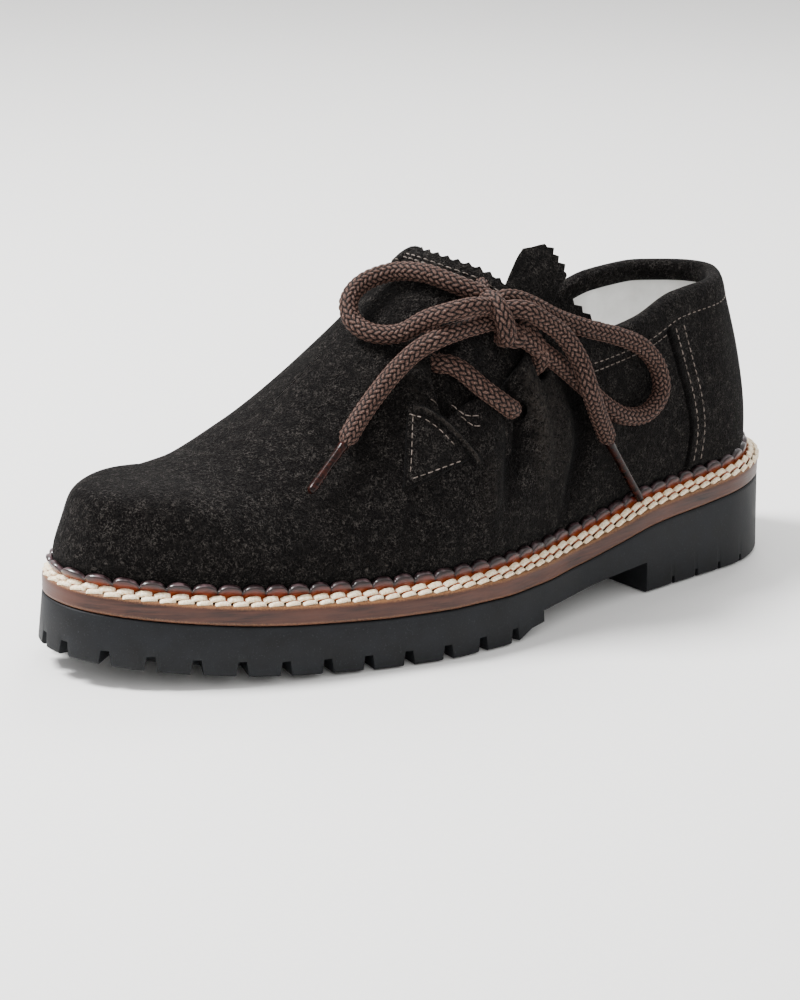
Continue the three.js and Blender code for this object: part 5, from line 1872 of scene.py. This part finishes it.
@dataclass
class Lace:
    """Round braided lace: bow, ends, knot, crossing and strands through the eyelets."""

    last: Last
    cord: bpy.types.Material
    film: bpy.types.Material
    diameter: float = 6.6
    sides: int = 72
    step: float = 0.28
    left_loop: tuple = (
        (151.8, 29.8, 110.6), (155.0, 26.4, 112.9), (159.8, 20.9, 115.3), (165.2, 11.3, 117.9),
        (171.0, 1.6, 117.1), (180.0, -2.5, 113.6), (187.4, -0.5, 108.7), (189.4, 4.5, 103.2),
        (187.0, 11.6, 100.3), (181.3, 19.1, 101.0), (176.5, 27.2, 106.8), (171.2, 34.3, 110.3),
        (164.6, 36.2, 111.2), (159.0, 35.2, 110.2), (153.5, 33.0, 108.6),
    )
    right_loop: tuple = (
        (151.5, 31.2, 109.6), (147.4, 31.0, 110.7), (142.8, 31.4, 110.3), (134.5, 31.7, 107.0),
        (124.5, 32.5, 101.8), (111.9, 33.8, 97.0), (97.0, 34.3, 92.4), (85.1, 34.6, 87.0),
        (76.9, 34.5, 78.6), (75.7, 35.5, 70.3), (82.8, 36.8, 64.1), (94.4, 37.8, 64.5),
        (105.0, 38.2, 70.0), (116.0, 37.8, 78.9), (127.5, 37.2, 87.9), (137.8, 37.2, 94.8),
        (142.5, 37.1, 98.0), (147.0, 36.0, 100.6), (151.0, 33.6, 103.0),
    )
    left_tail: tuple = (
        (152.0, 33.2, 104.6), (155.4, 33.5, 104.4), (159.4, 33.3, 104.0), (166.5, 33.2, 103.2),
        (175.3, 32.2, 101.2), (181.3, 28.6, 97.3), (187.5, 25.7, 91.1), (196.3, 25.5, 83.2),
        (203.7, 26.8, 76.9), (211.2, 28.8, 70.1),
    )
    right_tail: tuple = (
        (151.6, 34.2, 107.6), (147.8, 37.4, 108.6), (143.5, 39.6, 107.9), (139.1, 40.5, 105.1),
        (129.9, 41.7, 98.8), (123.5, 43.7, 89.8), (120.6, 46.2, 80.3), (112.9, 43.2, 69.1),
        (103.6, 39.5, 57.3),
    )
    left_tip: tuple = ((211.5, 28.9, 69.8), (227.2, 32.5, 57.9))
    right_tip: tuple = ((103.3, 39.4, 56.9), (85.3, 37.8, 33.1))
    wrap: tuple = (
        (153.8, 28.8, 104.8), (154.0, 28.6, 108.4), (154.2, 31.8, 111.5), (154.8, 36.0, 110.9),
        (154.8, 39.4, 107.5), (153.8, 40.7, 103.0), (152.2, 39.0, 99.8), (150.8, 35.2, 99.0),
    )
    bar: tuple = (  # place, rise in degrees, height over the skin
        (168.6, 61.0, 0.6), (169.2, 60.2, -3.5), (170.4, 55.8, -4.6), (171.2, 52.2, -1.6),
        (170.2, 49.4, 1.8), (168.0, 46.0, 3.2), (165.8, 42.8, 3.5), (163.0, 39.4, 3.5),
        (159.6, 36.2, 3.5), (155.6, 33.2, 3.3), (151.8, 30.9, 2.4), (148.6, 29.8, 0.9),
        (146.0, 29.2, -1.8), (144.8, 28.8, -7.0),
    )
    flap_strand: tuple = (
        (131.5, 33.2, -6.0), (131.9, 33.7, -0.6), (133.4, 35.4, 3.2), (137.0, 39.0, 4.6),
        (141.5, 43.5, 4.6),
    )
    flap_end: tuple = ((146.5, 37.2, 98.2), (151.0, 35.2, 101.6))
    vamp_strand: tuple = ((146.2, 62.2, -4.0), (147.0, 61.2, -0.8), (149.6, 58.2, 1.6))
    vamp_end: tuple = ((152.5, 31.5, 104.0),)

    def piece(
        self, name: str, path: Array, ends: tuple = (1.0, 1.0), draw: float = 3.0
    ) -> bpy.types.Object:
        """One braided length.

        Args:
            name: object's name.
            path: even samples of its middle line.
            ends: share of the radius left at its start and its far end.
            draw: length over which an end draws in, mm.

        Returns:
            The object.
        """

        def thick(run: Array) -> Array:
            """Radius along the run."""
            first = ends[0] + (1 - ends[0]) * smooth(0, draw, run)
            last = ends[1] + (1 - ends[1]) * smooth(0, draw, run[-1] - run)
            return self.diameter / 2 * first * last

        points, faces, height = tube(path, thick, self.sides, braid())
        sheet = Sheet()
        sheet.add(points, faces, 0, height)
        return sheet.build(name, [self.cord], "lace", "strand")

    def tip(self, name: str, ends: tuple) -> bpy.types.Object:
        """Glossy tip, slightly flattened in the middle."""
        path = evenly(np.array(ends, float), 0.8)

        def thick(run: Array) -> Array:
            """Radius along the run: wider at the cord, pinched in the middle and at the end."""
            s = run / run[-1]
            pinch = 0.12 * np.sin(np.pi * s)
            return 1.55 - pinch + 0.25 * smooth(0.12, 0.0, s) - 0.2 * smooth(0.9, 1.0, s)

        points, faces, height = tube(path, thick, 14)
        sheet = Sheet()
        sheet.add(points, faces, 0, height)
        return sheet.build(name, [self.film], "aglet")

    def free(self, obj: bpy.types.Object, path: Array, far_end: str, with_pieces: list) -> None:
        """Does nothing with the cord or the line it follows."""

    def build(self) -> list[bpy.types.Object]:
        knot = self.piece("bow_knot", through(self.wrap, self.step))
        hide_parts("lace_knot")
        made = [knot]
        left, right = self.tip("lace_tip_left", self.left_tip), self.tip("lace_tip_right", self.right_tip)
        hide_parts("aglet_left")
        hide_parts("aglet_right")
        for name, points, node, far, pieces, slim in (
            ("bow_loop_left", self.left_loop, "lace_loop_left", FarEnd.KNOT, [], 1.0),
            ("bow_loop_right", self.right_loop, "lace_loop_right", FarEnd.KNOT, [knot], 1.0),
            ("lace_end_left", self.left_tail, "lace_tail_left", FarEnd.TIP, [left], 0.58),
            ("lace_end_right", self.right_tail, "lace_tail_right", FarEnd.TIP, [right], 0.58),
        ):
            path = through(points, self.step)
            obj = self.piece(name, path, (1.0, slim))
            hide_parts(node)
            self.free(obj, path, far.value, pieces)
            made.append(obj)
        for name, route, end, ends in (
            ("lace_crossing", self.bar, (), (0.8, 0.8)),
            ("lace_strand_flap", self.flap_strand, self.flap_end, (0.7, 1.0)),
            ("lace_strand_vamp", self.vamp_strand, self.vamp_end, (0.7, 1.0)),
        ):
            places = [self.last.spots([spot[:2]], -spot[2])[0] for spot in route] + [*end]
            made.append(self.piece(name, through(places, self.step), ends, 11.0))
        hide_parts("lace_bar")
        return made


# ---- stage ----


@dataclass
class Studio:
    """Pale floor, soft lights and the camera."""

    eye: tuple[float, float, float] = (0.60165, 0.70625, 0.30993)
    look: tuple[float, float, float] = (-0.61230, -0.73752, -0.28485)
    roll: float = 1.75
    lens: float = 100.8
    floor: tuple[float, float] = (6.0, -0.0004)  # half its width, and its height just under the sole
    sky: float = 1.08
    lamps: tuple = (  # name, place, aim, width and power
        ("key", (0.7, -0.5, 1.3), (0.0, 0.0, 0.05), 0.5, 58),
        ("fill", (0.5, 1.6, 0.9), (0.0, 0.0, 0.05), 1.2, 4),
        ("rim", (-0.9, -0.7, 1.2), (0.0, 0.0, 0.08), 0.8, 14),
    )

    def camera(self) -> bpy.types.Object:
        """Camera at the photograph's place and angle."""
        data = bpy.data.cameras.new("camera")
        data.lens = self.lens
        data.sensor_width = 36.0
        data.clip_start, data.clip_end = 0.05, 20.0
        camera = bpy.data.objects.new("camera", data)
        forward = Vector(self.look).normalized()
        right = forward.cross(Vector((0, 0, 1))).normalized()
        up = right.cross(forward)
        c, s = math.cos(math.radians(self.roll)), math.sin(math.radians(self.roll))
        right, up = right * c + up * s, up * c - right * s
        basis = Matrix((right, up, -forward)).transposed().to_4x4()
        basis.translation = Vector(self.eye)
        camera.matrix_world = basis
        bpy.context.scene.collection.objects.link(camera)
        bpy.context.scene.camera = camera
        return camera

    def light(self, name: str, place: tuple, aim: tuple, size: float, power: float) -> None:
        """Add one round soft box."""
        data = bpy.data.lights.new(name, "AREA")
        data.shape = "DISK"
        data.size = size
        data.energy = power
        lamp = bpy.data.objects.new(name, data)
        lamp.location = Vector(place)
        lamp.rotation_mode = "QUATERNION"
        lamp.rotation_quaternion = (Vector(aim) - Vector(place)).to_track_quat("-Z", "Y")
        bpy.context.scene.collection.objects.link(lamp)

    def build(self) -> None:
        """Set up floor, world and lights."""
        sheet = bpy.data.meshes.new("floor")
        r, z = self.floor
        sheet.from_pydata([(-r, -r, z), (r, -r, z), (r, r, z), (-r, r, z)], [], [(0, 1, 2, 3)])
        sheet.materials.append(PaleFloor().build())
        floor = bpy.data.objects.new("floor", sheet)
        bpy.context.scene.collection.objects.link(floor)
        world = bpy.data.worlds.new("studio")
        world.use_nodes = True
        background = world.node_tree.nodes["Background"]
        background.inputs[0].default_value = linear("#ffffff")
        background.inputs[1].default_value = self.sky
        bpy.context.scene.world = world
        for lamp in self.lamps:
            self.light(*lamp)


def main() -> None:
    """Build the shoe, then the stage."""
    logging.basicConfig(level=logging.INFO, format="%(message)s")
    studio = Studio()
    studio.camera()
    suede = Suede().build()
    lining = SmoothLining().build()
    thread = Thread("#7f726a", "#40372f", 0.9, 0.6).build("upper_thread")
    linen = Thread().build("linen_thread")
    lace = Lace(LAST, BraidedCord().build(), ShrunkTip().build())
    LOG.info("lace: %d pieces", len(lace.build()))
    sole = SoleUnit(LAST)
    sole.rubber(MouldedRubber().build())
    sole.leather(BurnishedEdge().build())
    sole.insole(lining)
    welt = Welt(LAST)
    welt.build(WaxedWelt().build(), CutWeltTop().build())
    welt.stitches(linen)
    face = Surface(LAST)
    face.prepare()
    upper = Upper(LAST, face, suede, lining, thread)
    upper.shell()
    upper.lining_shell()
    upper.band()
    upper.counter()
    upper.triangle()
    upper.pinked_edge()
    Tongue(LAST, suede).build()
    studio.build()


if __name__ == "__main__":
    main()
